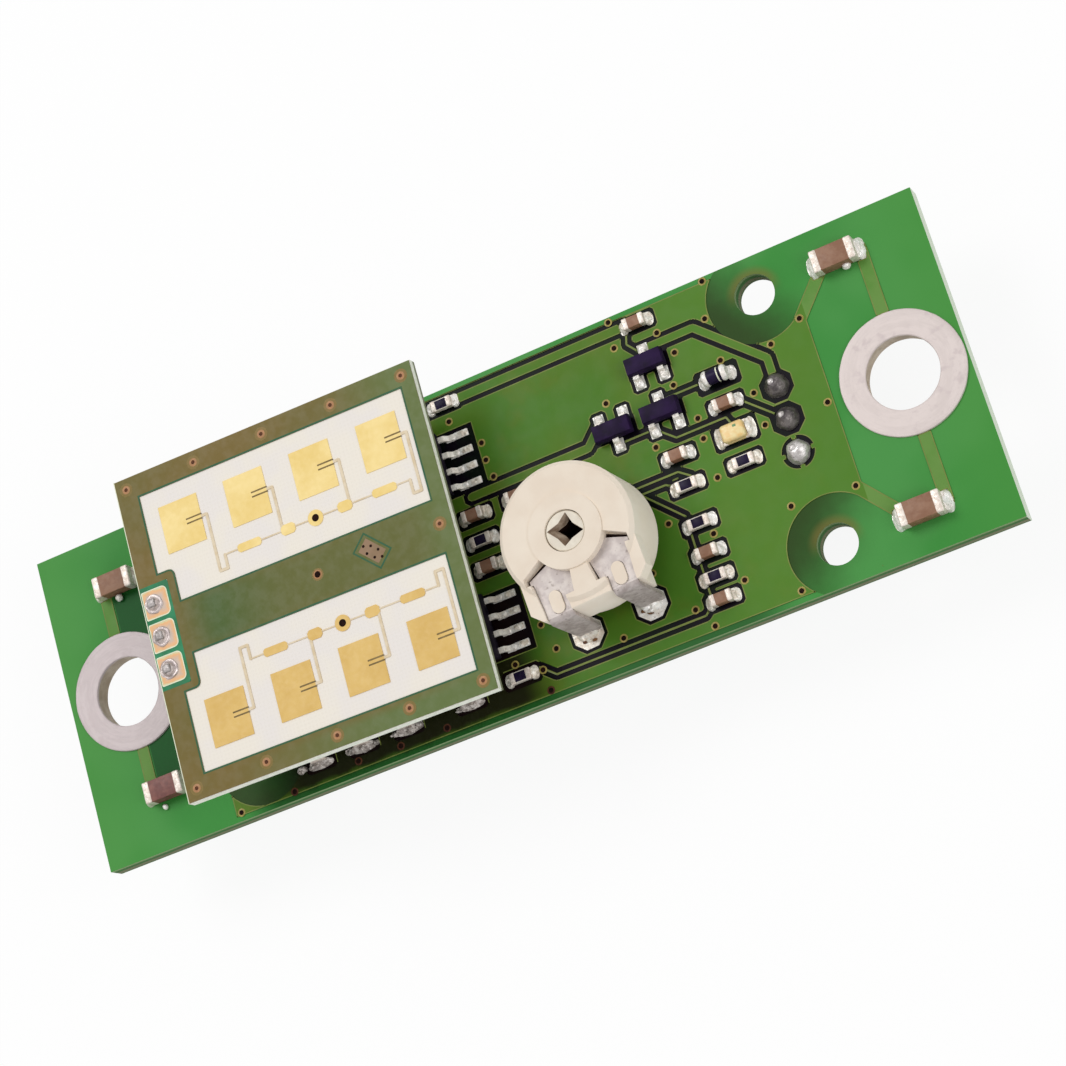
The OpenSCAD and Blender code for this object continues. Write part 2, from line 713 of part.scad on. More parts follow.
// Long moulded peg that holds the terminal plate down
module peg(grow = 0) {
    translate([peg_at.x, -peg_at.y]) {
        mirrored_y() translate([0, peg_run / 2]) circle(peg_r + grow, $fn = 24);
        square([2 * (peg_r + grow), peg_run], center = true);
    }
}
module trimmer_housing() {
    color("#e9e0ce") in_trimmer() {
        difference() {
            trimmer_block();
            translate([0, 0, -eps]) cylinder(r = cavity_r, h = cavity_top + eps, $fn = 96);
            cylinder(r = rotor_r + rotor_gap, h = 2 * trimmer_top);
            mirrored_x() translate([0, 0, recess_floor]) linear_extrude(trimmer_top) difference() {
                terminal_plate(plate_gap);
                circle(collar_r);
                peg();
            }
            mirrored_x() translate([0, 0, recess_floor + terminal_t + peg_up])
                linear_extrude(trimmer_top) peg(plate_gap);
            translate([-terminal_w / 2 - plate_gap, 0, -eps])
                cube([terminal_w + 2 * plate_gap, 2 * trimmer_r, collector_z + terminal_t + plate_gap + eps]);
        }
    }
}
// Four-pointed driver slot
module star() {
    polygon([for (k = [0:7]) (k % 2 == 0 ? star_out : star_in) * [cos(45 * k), sin(45 * k)]]);
}
module trimmer_rotor() {
    color("#ddd3c2") in_trimmer() difference() {
        union() {
            translate([0, 0, flange_z]) cylinder(r = flange_r, h = flange_t);
            translate([0, 0, flange_z]) cylinder(r = rotor_r, h = trimmer_top - flange_z);
        }
        linear_extrude(2 * trimmer_top) rotate(slot_turn) star();
    }
}
// Spring contact on the rotor's flange, with an arm up to the track
module trimmer_wiper() {
    rise = cavity_top - track_t - rotor_gap - wiper_tip_r - wiper_z - wiper_t / 2;
    run = wiper_reach - wiper_out + wiper_t;
    color("#b8b4ae") in_trimmer(wiper_z) {
        difference() {
            union() {
                cylinder(r = wiper_out, h = wiper_t);
                translate([0, wiper_out - wiper_t, wiper_t / 2]) rotate([atan2(rise, run), 0, 0])
                    translate([-wiper_arm_w / 2, 0, -wiper_t / 2])
                        cube([wiper_arm_w, norm([rise, run]), wiper_t]);
                translate([-wiper_arm_w / 2, wiper_reach, wiper_t / 2 + rise]) rotate([0, 90, 0])
                    cylinder(r = wiper_tip_r, h = wiper_arm_w, $fn = 16);
            }
            translate([0, 0, -eps]) cylinder(r = wiper_in, h = cavity_top);
        }
    }
}
// Horseshoe track under the top of the housing, open towards the front
module trimmer_track() {
    side = 2 * trimmer_r * [sin(track_open), -cos(track_open)];
    color("#3a332e") in_trimmer(cavity_top - track_t) linear_extrude(track_t) difference() {
        circle(track_out);
        circle(track_in);
        polygon([[0, 0], side, [-side.x, side.y]]);
    }
}
module terminal_tail() {
    translate([-tail_w / 2, -terminal_t / 2, -board_t - pin_below])
        cube([tail_w, terminal_t, board_t + pin_below + strip_foot + eps]);
}
// Ring under the rotor with a strip out through the housing's wall and down to the board
module trimmer_collector() {
    color("#b9bcc0") in_trimmer() {
        translate([0, 0, collector_z]) linear_extrude(terminal_t) difference() {
            union() {
                circle(collector_out);
                translate([-terminal_w / 2, 0]) square([terminal_w, collector_y + terminal_t / 2]);
            }
            circle(collector_in);
        }
        translate([-terminal_w / 2, collector_y - terminal_t / 2, strip_foot])
            cube([terminal_w, terminal_t, collector_z - strip_foot + eps]);
        translate([0, collector_y, 0]) terminal_tail();
    }
}
// Front terminal: a plate in the recess, a strip down the flat front and a tail through the board
module front_terminal() {
    translate([0, 0, recess_floor]) linear_extrude(terminal_t) difference() {
        terminal_plate();
        circle(collar_r + plate_gap);
        peg(plate_gap);
    }
    translate([terminal_half - terminal_w / 2, tail_y - terminal_t / 2, strip_foot])
        cube([terminal_w, terminal_t, recess_floor - strip_foot + eps]);
    translate([terminal_half, tail_y, 0]) terminal_tail();
}
module trimmer_terminal_right() color("#b9bcc0") in_trimmer() front_terminal();
module trimmer_terminal_left() color("#b9bcc0") in_trimmer() mirror([1, 0, 0]) front_terminal();

// Three-pin header on the underside, soldered from above
module header_pins() {
    color("#b7b0a0") header_row() translate([0, 0, -header_drop])
        linear_extrude(header_drop + board_t + header_top) square(pin_side, center = true);
}
module header_spacer() {
    color("#222222") translate([header_x, header_y, -spacer_h]) linear_extrude(spacer_h) difference() {
        square([pin_pitch, 3 * pin_pitch - 2 * eps], center = true);
        pin_row() square(pin_side + 2 * eps, center = true);
    }
}
module header_solder() {
    color("#8f8f8f") on_board() header_row() difference() {
        sphere(r = header_dome_r);
        translate([-header_dome_r, -header_dome_r, -2 * header_dome_r]) cube(2 * header_dome_r);
        linear_extrude(header_top + eps) square(pin_side + 2 * eps, center = true);
    }
}
module underside_solder() {
    color("#bdb9b4") {
        mirror([0, 0, 1]) translate([module_x, module_y, 0]) rotate(module_turn) module_pin_row()
            pin_joint(pin_joint_r, pin_side, joint_drop);
        mirror([0, 0, 1]) translate([trimmer_x, trimmer_y, 0]) rotate(trimmer_turn) terminal_tails()
            difference() {
                cylinder(r1 = tail_joint_r, r2 = tail_hole_r, h = joint_drop, $fn = 32);
                translate([-tail_w / 2 - eps, -terminal_t / 2 - eps, -eps])
                    cube([tail_w + 2 * eps, terminal_t + 2 * eps, joint_drop + 2 * eps]);
            }
    }
}

// Solder under and beside one end of a chip
module chip_joint(size, spread) {
    x = size.x / 2;
    rise = pad_t + joint_rise * min(size.z, 1);
    width = size.y + 2 * spread;
    translate([0, width / 2, 0]) rotate([90, 0, 0]) linear_extrude(width) polygon([
        [x - pad_under, 0], [x + joint_run, 0], [x + joint_run, pad_t],
        [x, rise], [x, pad_t], [x - pad_under, pad_t],
    ]);
}
module surface_solder() {
    color("#cfcac8") on_board() {
        for (chip = CHIPS) at_chip(chip) mirrored_x() chip_joint(chip_size(chip[1]), joint_spread(chip[1]));
        for (sot = SOTS) translate(sot[1]) rotate(sot[2]) linear_extrude(pad_t) sot_pads();
        for (soic = SOICS) translate(soic[1]) rotate(soic[2]) linear_extrude(pad_t) soic_pads();
    }
    color("#cfcac8") on_board() linear_extrude(pad_t) difference() {
        trimmer_lands(tail_pad);
        translate([trimmer_x, trimmer_y]) rotate(trimmer_turn) terminal_tails()
            square([tail_w + 2 * eps, terminal_t + 2 * eps], center = true);
    }
}

// Chip with a cap over each end
module chip_caps(size) {
    mirrored_x() translate([size.x / 2 - end_cap, -size.y / 2, 0]) cube([end_cap, size.y, size.z]);
}
module plain_chip(size) {
    translate([-size.x / 2 + eps, -size.y / 2 + cap_stand, cap_stand])
        cube([size.x - 2 * eps, size.y - 2 * cap_stand, size.z - 2 * cap_stand]);
}
module led_chip(size) {
    slope = size.z / 3;
    end_x = size.x / 2 - eps;
    top_x = size.x / 2 - slope;
    translate([0, size.y / 2 - cap_stand, 0]) rotate([90, 0, 0])
        linear_extrude(size.y - 2 * cap_stand) polygon([
            [-end_x, cap_stand], [end_x, cap_stand], [end_x, size.z / 3],
            [top_x, size.z], [-top_x, size.z], [-end_x, size.z / 3],
        ]);
}
module round_diode(size) {
    translate([-size.x / 2, 0, size.z / 2]) rotate([0, 90, 0]) {
        cylinder(d = size.z - 2 * cap_stand, h = size.x, $fn = 32);
        cylinder(d = size.z, h = end_cap, $fn = 32);
        translate([0, 0, size.x - end_cap]) cylinder(d = size.z, h = end_cap, $fn = 32);
    }
}
module chip_part(chip) {
    size = chip_size(chip[1]);
    on_board() translate([0, 0, pad_t]) at_chip(chip) {
        if (chip[1] == "diode") {
            color(chip_colour(chip[1])) round_diode(size);
        } else {
            color("#cfc9cc") chip_caps(chip[1] == "led" ? [size.x, size.y, size.z / 3] : size);
            color(chip_colour(chip[1])) if (chip[1] == "led") led_chip(size); else plain_chip(size);
        }
    }
}

// Bent lead of a moulded part: out of the body, down and along the pad
module gull_lead(body_y, foot_y, middle_z, t, width) {
    knee = body_y + (foot_y - body_y) * knee_at;
    ankle = body_y + (foot_y - body_y) * ankle_at;
    translate([-width / 2, 0, 0]) rotate([90, 0, 90]) linear_extrude(width) polygon([
        [body_y - t, middle_z - t / 2], [knee - t / 2, middle_z - t / 2], [ankle - t / 2, 0], [foot_y, 0],
        [foot_y, t], [ankle + t / 2, t], [knee + t / 2, middle_z + t / 2], [body_y - t, middle_z + t / 2],
    ]);
}
// Moulded body with drafted sides, its length along X
module moulded_body(length, width, height, draft) {
    translate([-length / 2, 0, 0]) rotate([90, 0, 90]) linear_extrude(length) polygon([
        [-width / 2 + draft, body_stand], [width / 2 - draft, body_stand], [width / 2, height / 2],
        [width / 2 - draft, height], [-width / 2 + draft, height], [-width / 2, height / 2],
    ]);
}
module sot_part(sot) {
    on_board() translate(concat(sot[1], pad_t)) rotate(sot[2]) {
        color("#221a30") moulded_body(sot_l, sot_w, sot_h, sot_draft);
        color("#cfc9cc") {
            gull_lead(sot_w / 2, sot_foot, sot_h / 2, sot_lead_t, sot_lead_w);
            mirrored_x() translate([sot_pitch, 0, 0]) rotate(180)
                gull_lead(sot_w / 2, sot_foot, sot_h / 2, sot_lead_t, sot_lead_w);
        }
    }
}
module soic_part(soic) {
    on_board() translate(concat(soic[1], pad_t)) rotate(soic[2]) {
        color("#1d1726") rotate(90) moulded_body(soic_l, soic_w, soic_h, soic_draft);
        color("#cfc9cc") for (turn = [-90, 90], k = [-1.5:1.5]) rotate(turn) translate([k * soic_pitch, 0, 0])
            gull_lead(soic_w / 2, soic_foot, soic_h / 2, soic_lead_t, soic_lead_w - 0.1);
    }
}

main_board();
top_copper();
mounting_ring_left();
mounting_ring_right();
antenna_substrate();
antenna_ground();
antenna_patches();
antenna_pin_pads();
shield_can();
oscillator_transistor();
mixer_diode();
module_pins();
module_pin_solder();
trimmer_housing();
trimmer_rotor();
trimmer_wiper();
trimmer_track();
trimmer_collector();
trimmer_terminal_left();
trimmer_terminal_right();
header_pins();
header_spacer();
header_solder();
underside_solder();
surface_solder();
for (chip = CHIPS) chip_part(chip);
for (sot = SOTS) sot_part(sot);
for (soic = SOICS) soic_part(soic);
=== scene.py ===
import math

import bmesh
import bpy
from mathutils import Matrix, Vector, noise
from mathutils.geometry import tessellate_polygon

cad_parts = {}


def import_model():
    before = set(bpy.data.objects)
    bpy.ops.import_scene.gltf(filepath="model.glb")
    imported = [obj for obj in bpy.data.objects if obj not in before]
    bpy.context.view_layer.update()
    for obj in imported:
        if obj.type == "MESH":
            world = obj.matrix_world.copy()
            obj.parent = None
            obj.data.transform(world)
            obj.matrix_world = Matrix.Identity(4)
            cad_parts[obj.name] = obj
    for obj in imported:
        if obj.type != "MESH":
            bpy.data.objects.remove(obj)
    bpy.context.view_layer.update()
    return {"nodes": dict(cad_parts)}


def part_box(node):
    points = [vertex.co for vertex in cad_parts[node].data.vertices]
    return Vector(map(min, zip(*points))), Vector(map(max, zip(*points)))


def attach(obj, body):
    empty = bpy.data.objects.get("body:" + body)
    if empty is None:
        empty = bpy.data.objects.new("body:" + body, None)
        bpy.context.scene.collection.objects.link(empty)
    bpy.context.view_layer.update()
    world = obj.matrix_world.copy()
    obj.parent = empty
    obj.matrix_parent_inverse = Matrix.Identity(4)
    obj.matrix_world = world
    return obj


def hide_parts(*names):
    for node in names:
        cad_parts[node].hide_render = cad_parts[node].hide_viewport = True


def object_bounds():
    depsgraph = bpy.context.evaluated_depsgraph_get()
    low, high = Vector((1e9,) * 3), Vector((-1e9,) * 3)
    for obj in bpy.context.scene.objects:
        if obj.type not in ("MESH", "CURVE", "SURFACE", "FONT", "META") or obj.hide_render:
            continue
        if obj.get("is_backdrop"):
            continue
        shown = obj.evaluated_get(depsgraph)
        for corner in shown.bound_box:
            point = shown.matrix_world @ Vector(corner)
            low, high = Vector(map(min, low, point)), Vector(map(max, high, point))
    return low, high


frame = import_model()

MM = 0.001
nodes = frame["nodes"]

BOARD_T = 1.6
MODULE_AT, MODULE_TURN = (-12.97, 0.5), -0.9
MODULE_TOP = 8.3
TRIMMER_AT, TRIMMER_TURN = (7.1, -3.4), 3.3
TRIMMER_TOP = BOARD_T + 6.5
RING_X = 31.64
HEADER_AT = (22.94, 0.13)
PIN_PITCH = 2.54
FIX_HOLES = [(23.5, 9.6), (23.5, -9.6), (-22.5, 8.55), (-22.5, -8.55)]


# materials

def linear(rgb):
    """sRGB from 0 to 255 as scene-linear RGBA."""
    out = []
    for c in rgb:
        c /= 255
        out.append(c / 12.92 if c <= 0.04045 else ((c + 0.055) / 1.055) ** 2.4)
    return (*out, 1.0)


class Tree:
    """A material's node tree, with short calls for what the materials here need."""

    def __init__(self, name, rough=0.5, metal=0.0, coat=0.0, coat_rough=0.1, gloss=0.3):
        self.material = bpy.data.materials.new(name)
        self.material.use_nodes = True
        self.nodes = self.material.node_tree.nodes
        self.links = self.material.node_tree.links
        self.shader = self.nodes["Principled BSDF"]
        self.shader.inputs["Roughness"].default_value = rough
        self.shader.inputs["Metallic"].default_value = metal
        self.shader.inputs["Coat Weight"].default_value = coat
        self.shader.inputs["Coat Roughness"].default_value = coat_rough
        self.shader.inputs["Specular IOR Level"].default_value = gloss
        coords = self.nodes.new("ShaderNodeTexCoord")
        self.mm = self.vector("SCALE", coords.outputs["Object"], scale=1 / MM)

    def vector(self, operation, a, b=None, scale=None):
        n = self.nodes.new("ShaderNodeVectorMath")
        n.operation = operation
        self.put(n.inputs[0], a)
        if b is not None:
            self.put(n.inputs[1], b)
        if scale is not None:
            n.inputs["Scale"].default_value = scale
        return n.outputs["Value" if operation in ("LENGTH", "DISTANCE") else "Vector"]

    def put(self, socket, value):
        if isinstance(value, bpy.types.NodeSocket):
            self.links.new(value, socket)
        else:
            socket.default_value = value

    def math(self, operation, a, b=0.0, c=0.0, clamp=False):
        n = self.nodes.new("ShaderNodeMath")
        n.operation = operation
        n.use_clamp = clamp
        for socket, value in zip(n.inputs, (a, b, c)):
            self.put(socket, value)
        return n.outputs[0]

    def band(self, value, low, high, to_low=0.0, to_high=1.0):
        """value from low to high, smoothly, as to_low to to_high."""
        n = self.nodes.new("ShaderNodeMapRange")
        n.interpolation_type = "SMOOTHSTEP"
        self.put(n.inputs["Value"], value)
        for name, v in (("From Min", low), ("From Max", high), ("To Min", to_low), ("To Max", to_high)):
            n.inputs[name].default_value = v
        return n.outputs[0]

    def xyz(self, vector):
        n = self.nodes.new("ShaderNodeSeparateXYZ")
        self.put(n.inputs[0], vector)
        return n.outputs[0], n.outputs[1], n.outputs[2]

    def noise(self, scale, detail=3.0, vector=None, rough=0.55, distortion=0.0):
        n = self.nodes.new("ShaderNodeTexNoise")
        self.put(n.inputs["Vector"], self.mm if vector is None else vector)
        n.inputs["Scale"].default_value = scale
        n.inputs["Detail"].default_value = detail
        n.inputs["Roughness"].default_value = rough
        n.inputs["Distortion"].default_value = distortion
        return n.outputs["Fac"]

    def cells(self, scale, vector=None):
        n = self.nodes.new("ShaderNodeTexVoronoi")
        self.put(n.inputs["Vector"], self.mm if vector is None else vector)
        n.inputs["Scale"].default_value = scale
        return n.outputs["Distance"]

    def wave(self, scale, direction, vector=None, distortion=0.0):
        n = self.nodes.new("ShaderNodeTexWave")
        n.bands_direction = direction
        self.put(n.inputs["Vector"], self.mm if vector is None else vector)
        n.inputs["Scale"].default_value = scale
        n.inputs["Distortion"].default_value = distortion
        return n.outputs["Fac"]

    def mix(self, factor, a, b, blend="MIX"):
        n = self.nodes.new("ShaderNodeMix")
        n.data_type = "RGBA"
        n.blend_type = blend
        self.put(n.inputs[0], factor)
        self.put(n.inputs[6], linear(a) if isinstance(a, tuple) else a)
        self.put(n.inputs[7], linear(b) if isinstance(b, tuple) else b)
        return n.outputs[2]

    def turned(self, at, turn):
        """Millimetres in a frame at a place on the board, turned by degrees."""
        n = self.nodes.new("ShaderNodeMapping")
        n.vector_type = "TEXTURE"
        self.put(n.inputs["Vector"], self.mm)
        n.inputs["Location"].default_value = (at[0], at[1], 0)
        n.inputs["Rotation"].default_value = (0, 0, math.radians(turn))
        return n.outputs[0]

    def colour(self, socket):
        self.put(self.shader.inputs["Base Color"], socket)

    def roughness(self, socket):
        self.put(self.shader.inputs["Roughness"], socket)

    def bump(self, height, strength=0.3, distance=0.05):
        n = self.nodes.new("ShaderNodeBump")
        n.inputs["Strength"].default_value = strength
        n.inputs["Distance"].default_value = distance * MM
        self.put(n.inputs["Height"], height)
        if self.shader.inputs["Normal"].is_linked:
            self.links.new(self.shader.inputs["Normal"].links[0].from_socket, n.inputs["Normal"])
        self.links.new(n.outputs[0], self.shader.inputs["Normal"])


def mottled(name, a, b, scale=1.0, rough=(0.4, 0.6), bump=0.2, bump_scale=6.0, bump_depth=0.03, speck=None, **shader):
    """Two tones in patches, with uneven roughness and a fine bump; speck is a third tone in small spots."""
    t = Tree(name, **shader)
    patches = t.band(t.noise(scale, 4), 0.35, 0.65)
    colour = t.mix(patches, a, b)
    if speck:
        colour = t.mix(t.band(t.noise(scale * 6, 5), 0.56, 0.7), colour, speck)
    t.colour(colour)
    t.roughness(t.band(t.noise(scale * 2.3, 3), 0.3, 0.7, *rough))
    t.bump(t.noise(bump_scale, 4), bump, bump_depth)
    return t.material


def module_shade_and_flux(t, colour, x, y):
    """Painted shade of the raised module, with some flux, darkens the board along the module's lower edge."""
    along = t.math("MULTIPLY", t.band(x, -24.5, -19.5), t.band(x, 1.5, -1.5))
    wavy = t.math("ADD", y, t.math("MULTIPLY", t.noise(0.6, 3), 0.8))
    shade = t.math("MULTIPLY", along, t.band(wavy, -12.1, -11.4))
    shade = t.math("MULTIPLY", shade, t.math("LESS_THAN", y, -4.0))
    return t.mix(t.math("MULTIPLY", shade, 0.93), colour, (24, 12, 12))


def board_material():
    t = Tree("solder_mask_on_laminate", gloss=0.06)
    plane = t.vector("MULTIPLY", t.mm, (1, 1, 0))
    x, y, z = t.xyz(t.mm)
    drift = t.band(t.noise(0.1, 2), 0.4, 0.6)
    bright = t.mix(drift, (60, 138, 60), (74, 146, 72))
    ends = t.band(t.math("ABSOLUTE", x), 29, 36.5)
    bright = t.mix(t.math("MULTIPLY", ends, 0.5), bright, (76, 146, 64))
    # Painted shadow of the raised module on the board, between the left edge track and the module's left edge.
    bare = t.math("MULTIPLY", t.band(x, -31.2, -31.0), t.math("LESS_THAN", x, -25.4))
    bare = t.math("MULTIPLY", bare, t.band(t.math("ABSOLUTE", y), 8.2, 7.0))
    bare = t.math("MULTIPLY", bare, t.math("GREATER_THAN", z, 0.8))
    bright = t.mix(bare, bright, (24, 84, 34))
    low_strip = t.math("MULTIPLY", t.band(y, -11.9, -12.15), t.math("MULTIPLY", t.band(x, 20.5, 16.0), t.band(x, -25.5, -21.0)))
    bright = t.mix(t.math("MULTIPLY", low_strip, 0.7), bright, (20, 66, 24))
    dark = t.mix(t.band(t.noise(0.5, 3), 0.4, 0.6), (8, 16, 10), (12, 5, 16))
    side_y = t.math("ABSOLUTE", t.math("ADD", y, 0.1))
    inside = t.math("MULTIPLY", t.math("GREATER_THAN", x, -25.5), t.math("LESS_THAN", x, 26.45))
    corner = t.math("MULTIPLY", t.math("GREATER_THAN", x, 26.0), t.math("GREATER_THAN", side_y, 7.4))
    inside = t.math("MULTIPLY", inside, t.math("SUBTRACT", 1.0, corner))
    inside = t.math("MULTIPLY", inside, t.math("LESS_THAN", side_y, 12.1))
    colour = t.mix(inside, bright, dark)
    for hole in FIX_HOLES:
        lean = -0.6 if hole[0] > 0 > hole[1] else 0.6
        r = t.vector("DISTANCE", plane, (*hole, 0))
        along = t.math("ADD", t.math("MULTIPLY", t.math("SUBTRACT", x, hole[0]), 0.8), t.math("MULTIPLY", t.math("SUBTRACT", y, hole[1]), lean))
        lit = t.band(t.math("ADD", along, t.math("MULTIPLY", t.noise(0.5, 3), 2.0)), -2.2, 4.0)
        green = t.mix(lit, (44, 70, 26), bright)
        rim = t.math("MULTIPLY", t.band(r, 2.3, 1.5), t.band(t.math("SUBTRACT", y, hole[1]), -0.6, 1.2))
        green = t.mix(t.math("MULTIPLY", rim, 0.6), green, (118, 104, 52))
        colour = t.mix(t.math("LESS_THAN", r, 3.6), colour, green)
    level = t.math("ADD", z, t.math("MULTIPLY", t.noise(0.5, 3), 0.25))
    fibre = t.mix(t.band(level, 0.2, 0.5), (88, 112, 78), (122, 124, 98))
    fibre = t.mix(t.band(level, 0.75, 0.95), fibre, (72, 112, 66))
    fibre = t.mix(t.band(level, 1.3, 1.45), fibre, (132, 156, 110))
    fibre = t.mix(t.math("GREATER_THAN", x, 36.25), fibre, (214, 224, 206))
    colour = module_shade_and_flux(t, colour, x, y)
    below = t.mix(inside, bright, t.mix(t.band(t.noise(0.12, 2), 0.36, 0.64), (70, 112, 34), (58, 114, 40)))
    colour = t.mix(t.math("LESS_THAN", z, 0.02), colour, below)
    side = t.math("MULTIPLY", t.math("GREATER_THAN", z, 0.04), t.math("LESS_THAN", z, 1.56))
    t.colour(t.mix(side, colour, fibre))
    t.roughness(t.band(side, 0, 1, 0.34, 0.75))
    t.bump(t.math("MULTIPLY", t.wave(1.6, "X"), t.wave(1.6, "Y")), 0.04, 0.02)
    t.bump(t.noise(0.5, 3), 0.08, 0.05)
    return t.material


def copper_material(name, olive, green, brown, right):
    """Mask over copper, brighter where the copper runs out to the rings."""
    t = Tree(name, gloss=0.08)
    x, y, z = t.xyz(t.mm)
    colour = t.mix(t.band(t.noise(0.11, 2), 0.36, 0.64), olive, green)
    colour = t.mix(t.math("MULTIPLY", t.band(t.noise(0.3, 3), 0.5, 0.72), 0.45), colour, brown)
    colour = t.mix(t.math("MULTIPLY", t.band(x, 9, 20), 0.6), colour, right)
    outside = t.math("GREATER_THAN", t.math("ABSOLUTE", t.math("SUBTRACT", x, 0.5)), 26.0)
    colour = t.mix(outside, colour, t.mix(t.band(t.noise(0.3, 3), 0.4, 0.6), (92, 138, 60), (102, 142, 68)))
    t.colour(module_shade_and_flux(t, colour, x, y))
    t.roughness(t.band(t.noise(0.8, 3), 0.3, 0.7, 0.3, 0.42))
    t.bump(t.noise(0.5, 3), 0.08, 0.05)
    t.bump(t.noise(9, 3), 0.03, 0.01)
    return t.material


def ground_material():
    t = Tree("antenna_solder_mask", gloss=0.12)
    p = t.turned(MODULE_AT, MODULE_TURN)
    x, y, z = t.xyz(p)
    middle = t.band(t.math("ABSOLUTE", y), 1.2, 3.4, 1.0, 0.0)
    middle = t.math("MULTIPLY", middle, t.band(t.math("ABSOLUTE", t.math("ADD", x, -1.0)), 7.5, 11.5, 1.0, 0.0))
    side = t.band(t.noise(0.12, 2), 0.35, 0.65)
    brown = t.mix(side, (116, 98, 48), (108, 98, 48))
    right = t.band(x, 4, 12)
    brown = t.mix(right, brown, (98, 112, 62))
    low = t.band(y, -10.6, -11.6)
    brown = t.mix(t.math("MULTIPLY", low, t.band(x, -10, 6)), brown, (96, 112, 62))
    t.colour(t.mix(middle, brown, t.mix(t.band(x, -10, 0), (62, 92, 42), (96, 99, 48))))
    t.roughness(t.band(t.noise(1.5, 3), 0.3, 0.7, 0.3, 0.46))
    t.bump(t.noise(1.1, 3), 0.15, 0.05)
    return t.material


def substrate_material():
    t = Tree("ceramic_filled_laminate", rough=0.6)
    p = t.turned(MODULE_AT, MODULE_TURN)
    x, y, z = t.xyz(p)
    across = t.wave(1.05, "X", p, 0.6)
    along = t.wave(1.05, "Y", p, 0.6)
    weave = t.math("MULTIPLY", across, along)
    cream = t.mix(t.band(t.noise(0.25, 3, p), 0.35, 0.65), (236, 229, 217), (232, 226, 221))
    cream = t.mix(t.math("MULTIPLY", weave, 0.13), cream, (214, 206, 192))
    side = t.math("LESS_THAN", z, MODULE_TOP - 0.03)
    edge = t.mix(t.band(t.noise(3, 3), 0.35, 0.65), (244, 246, 234), (228, 234, 218))
    shaded = t.math("MULTIPLY", t.math("GREATER_THAN", x, 12.4), t.band(t.math("ADD", z, t.math("MULTIPLY", t.noise(2, 3), 0.2)), MODULE_TOP - 0.3, MODULE_TOP - 0.45))
    edge = t.mix(shaded, edge, (120, 124, 96))
    t.colour(t.mix(side, cream, edge))
    t.bump(weave, 0.12, 0.03)
    t.bump(t.noise(5, 4), 0.1, 0.02)
    return t.material


def gold_material():
    t = Tree("immersion_gold", gloss=0.2)
    p = t.turned(MODULE_AT, MODULE_TURN)
    x, y, z = t.xyz(p)
    upper = t.mix(t.band(t.noise(0.35, 3), 0.35, 0.65), (244, 218, 146), (236, 206, 126))
    lower = t.mix(t.band(t.noise(0.35, 3), 0.35, 0.65), (222, 186, 110), (214, 176, 98))
    t.colour(t.mix(t.band(y, -2, 2), lower, upper))
    t.roughness(t.band(t.noise(2.5, 3), 0.3, 0.7, 0.34, 0.52))
    t.bump(t.noise(4, 4), 0.12, 0.02)
    return t.material


def tin_material(name, a, b, dark, rough=(0.22, 0.4), bump=0.35, scale=2.0, metal=0.75):
    t = Tree(name, metal=metal)
    colour = t.mix(t.band(t.noise(scale, 4), 0.38, 0.62), a, b)
    colour = t.mix(t.math("MULTIPLY", t.band(t.noise(scale * 2.7, 5), 0.58, 0.74), 0.8), colour, dark)
    t.colour(colour)
    t.roughness(t.band(t.noise(scale * 2, 3), 0.3, 0.7, *rough))
    t.bump(t.noise(scale * 1.6, 3), bump, 0.08)
    t.bump(t.noise(scale * 8, 3), bump * 0.4, 0.015)
    return t.material


def ring_material():
    """Levelled tin with faint smears that follow the ring."""
    t = Tree("levelled_tin", metal=0.12)
    x, y, z = t.xyz(t.mm)
    away = t.math("SUBTRACT", t.math("ABSOLUTE", x), RING_X)
    n = t.nodes.new("ShaderNodeCombineXYZ")
    t.put(n.inputs[0], t.math("MULTIPLY", t.math("SQRT", t.math("ADD", t.math("MULTIPLY", away, away), t.math("MULTIPLY", y, y))), 2.2))
    t.put(n.inputs[1], t.math("MULTIPLY", t.math("ARCTAN2", y, away), 1.6))
    t.put(n.inputs[2], t.math("MULTIPLY", x, 0.05))
    smear = t.noise(1.0, 4, n.outputs[0])
    colour = t.mix(t.band(smear, 0.36, 0.64), t.mix(t.band(x, -20, 20), (184, 172, 172), (204, 192, 188)), t.mix(t.band(x, -20, 20), (204, 192, 192), (216, 204, 200)))
    colour = t.mix(t.math("MULTIPLY", t.band(t.noise(1.4, 4), 0.52, 0.72), 0.5), colour, (186, 172, 172))
    t.colour(colour)
    t.roughness(t.band(smear, 0.3, 0.7, 0.42, 0.6))
    t.bump(smear, 0.05, 0.05)
    t.bump(t.noise(4, 3), 0.08, 0.02)
    return t.material


def ring_wall_material():
    """The drilled wall's fine ridges show through its thin tin."""
    t = Tree("plated_bore", metal=0.15, gloss=0.2)
    ridges = t.wave(2.4, "Z", distortion=1.2)
    colour = t.mix(t.band(t.noise(0.9, 4), 0.36, 0.64), (212, 198, 180), (188, 172, 152))
    t.colour(t.mix(t.math("MULTIPLY", ridges, 0.6), colour, (136, 120, 100)))
    t.roughness(t.band(t.noise(2, 3), 0.3, 0.7, 0.5, 0.7))
    t.bump(ridges, 0.3, 0.04)
    return t.material


def cream_material():
    """Cream plastic with painted light: its upright sides are lighter than its top."""
    t = Tree("cream_moulding")
    geometry = t.nodes.new("ShaderNodeNewGeometry")
    up = t.band(t.xyz(geometry.outputs["Normal"])[2], 0.2, 0.9)
    patches = t.band(t.noise(0.35, 4), 0.35, 0.65)
    t.colour(t.mix(up, t.mix(patches, (250, 240, 226), (246, 234, 218)), t.mix(patches, (232, 219, 202), (227, 212, 194))))
    t.roughness(t.band(t.noise(0.8, 3), 0.3, 0.7, 0.5, 0.62))
    t.bump(t.noise(7, 4), 0.12, 0.02)
    return t.material


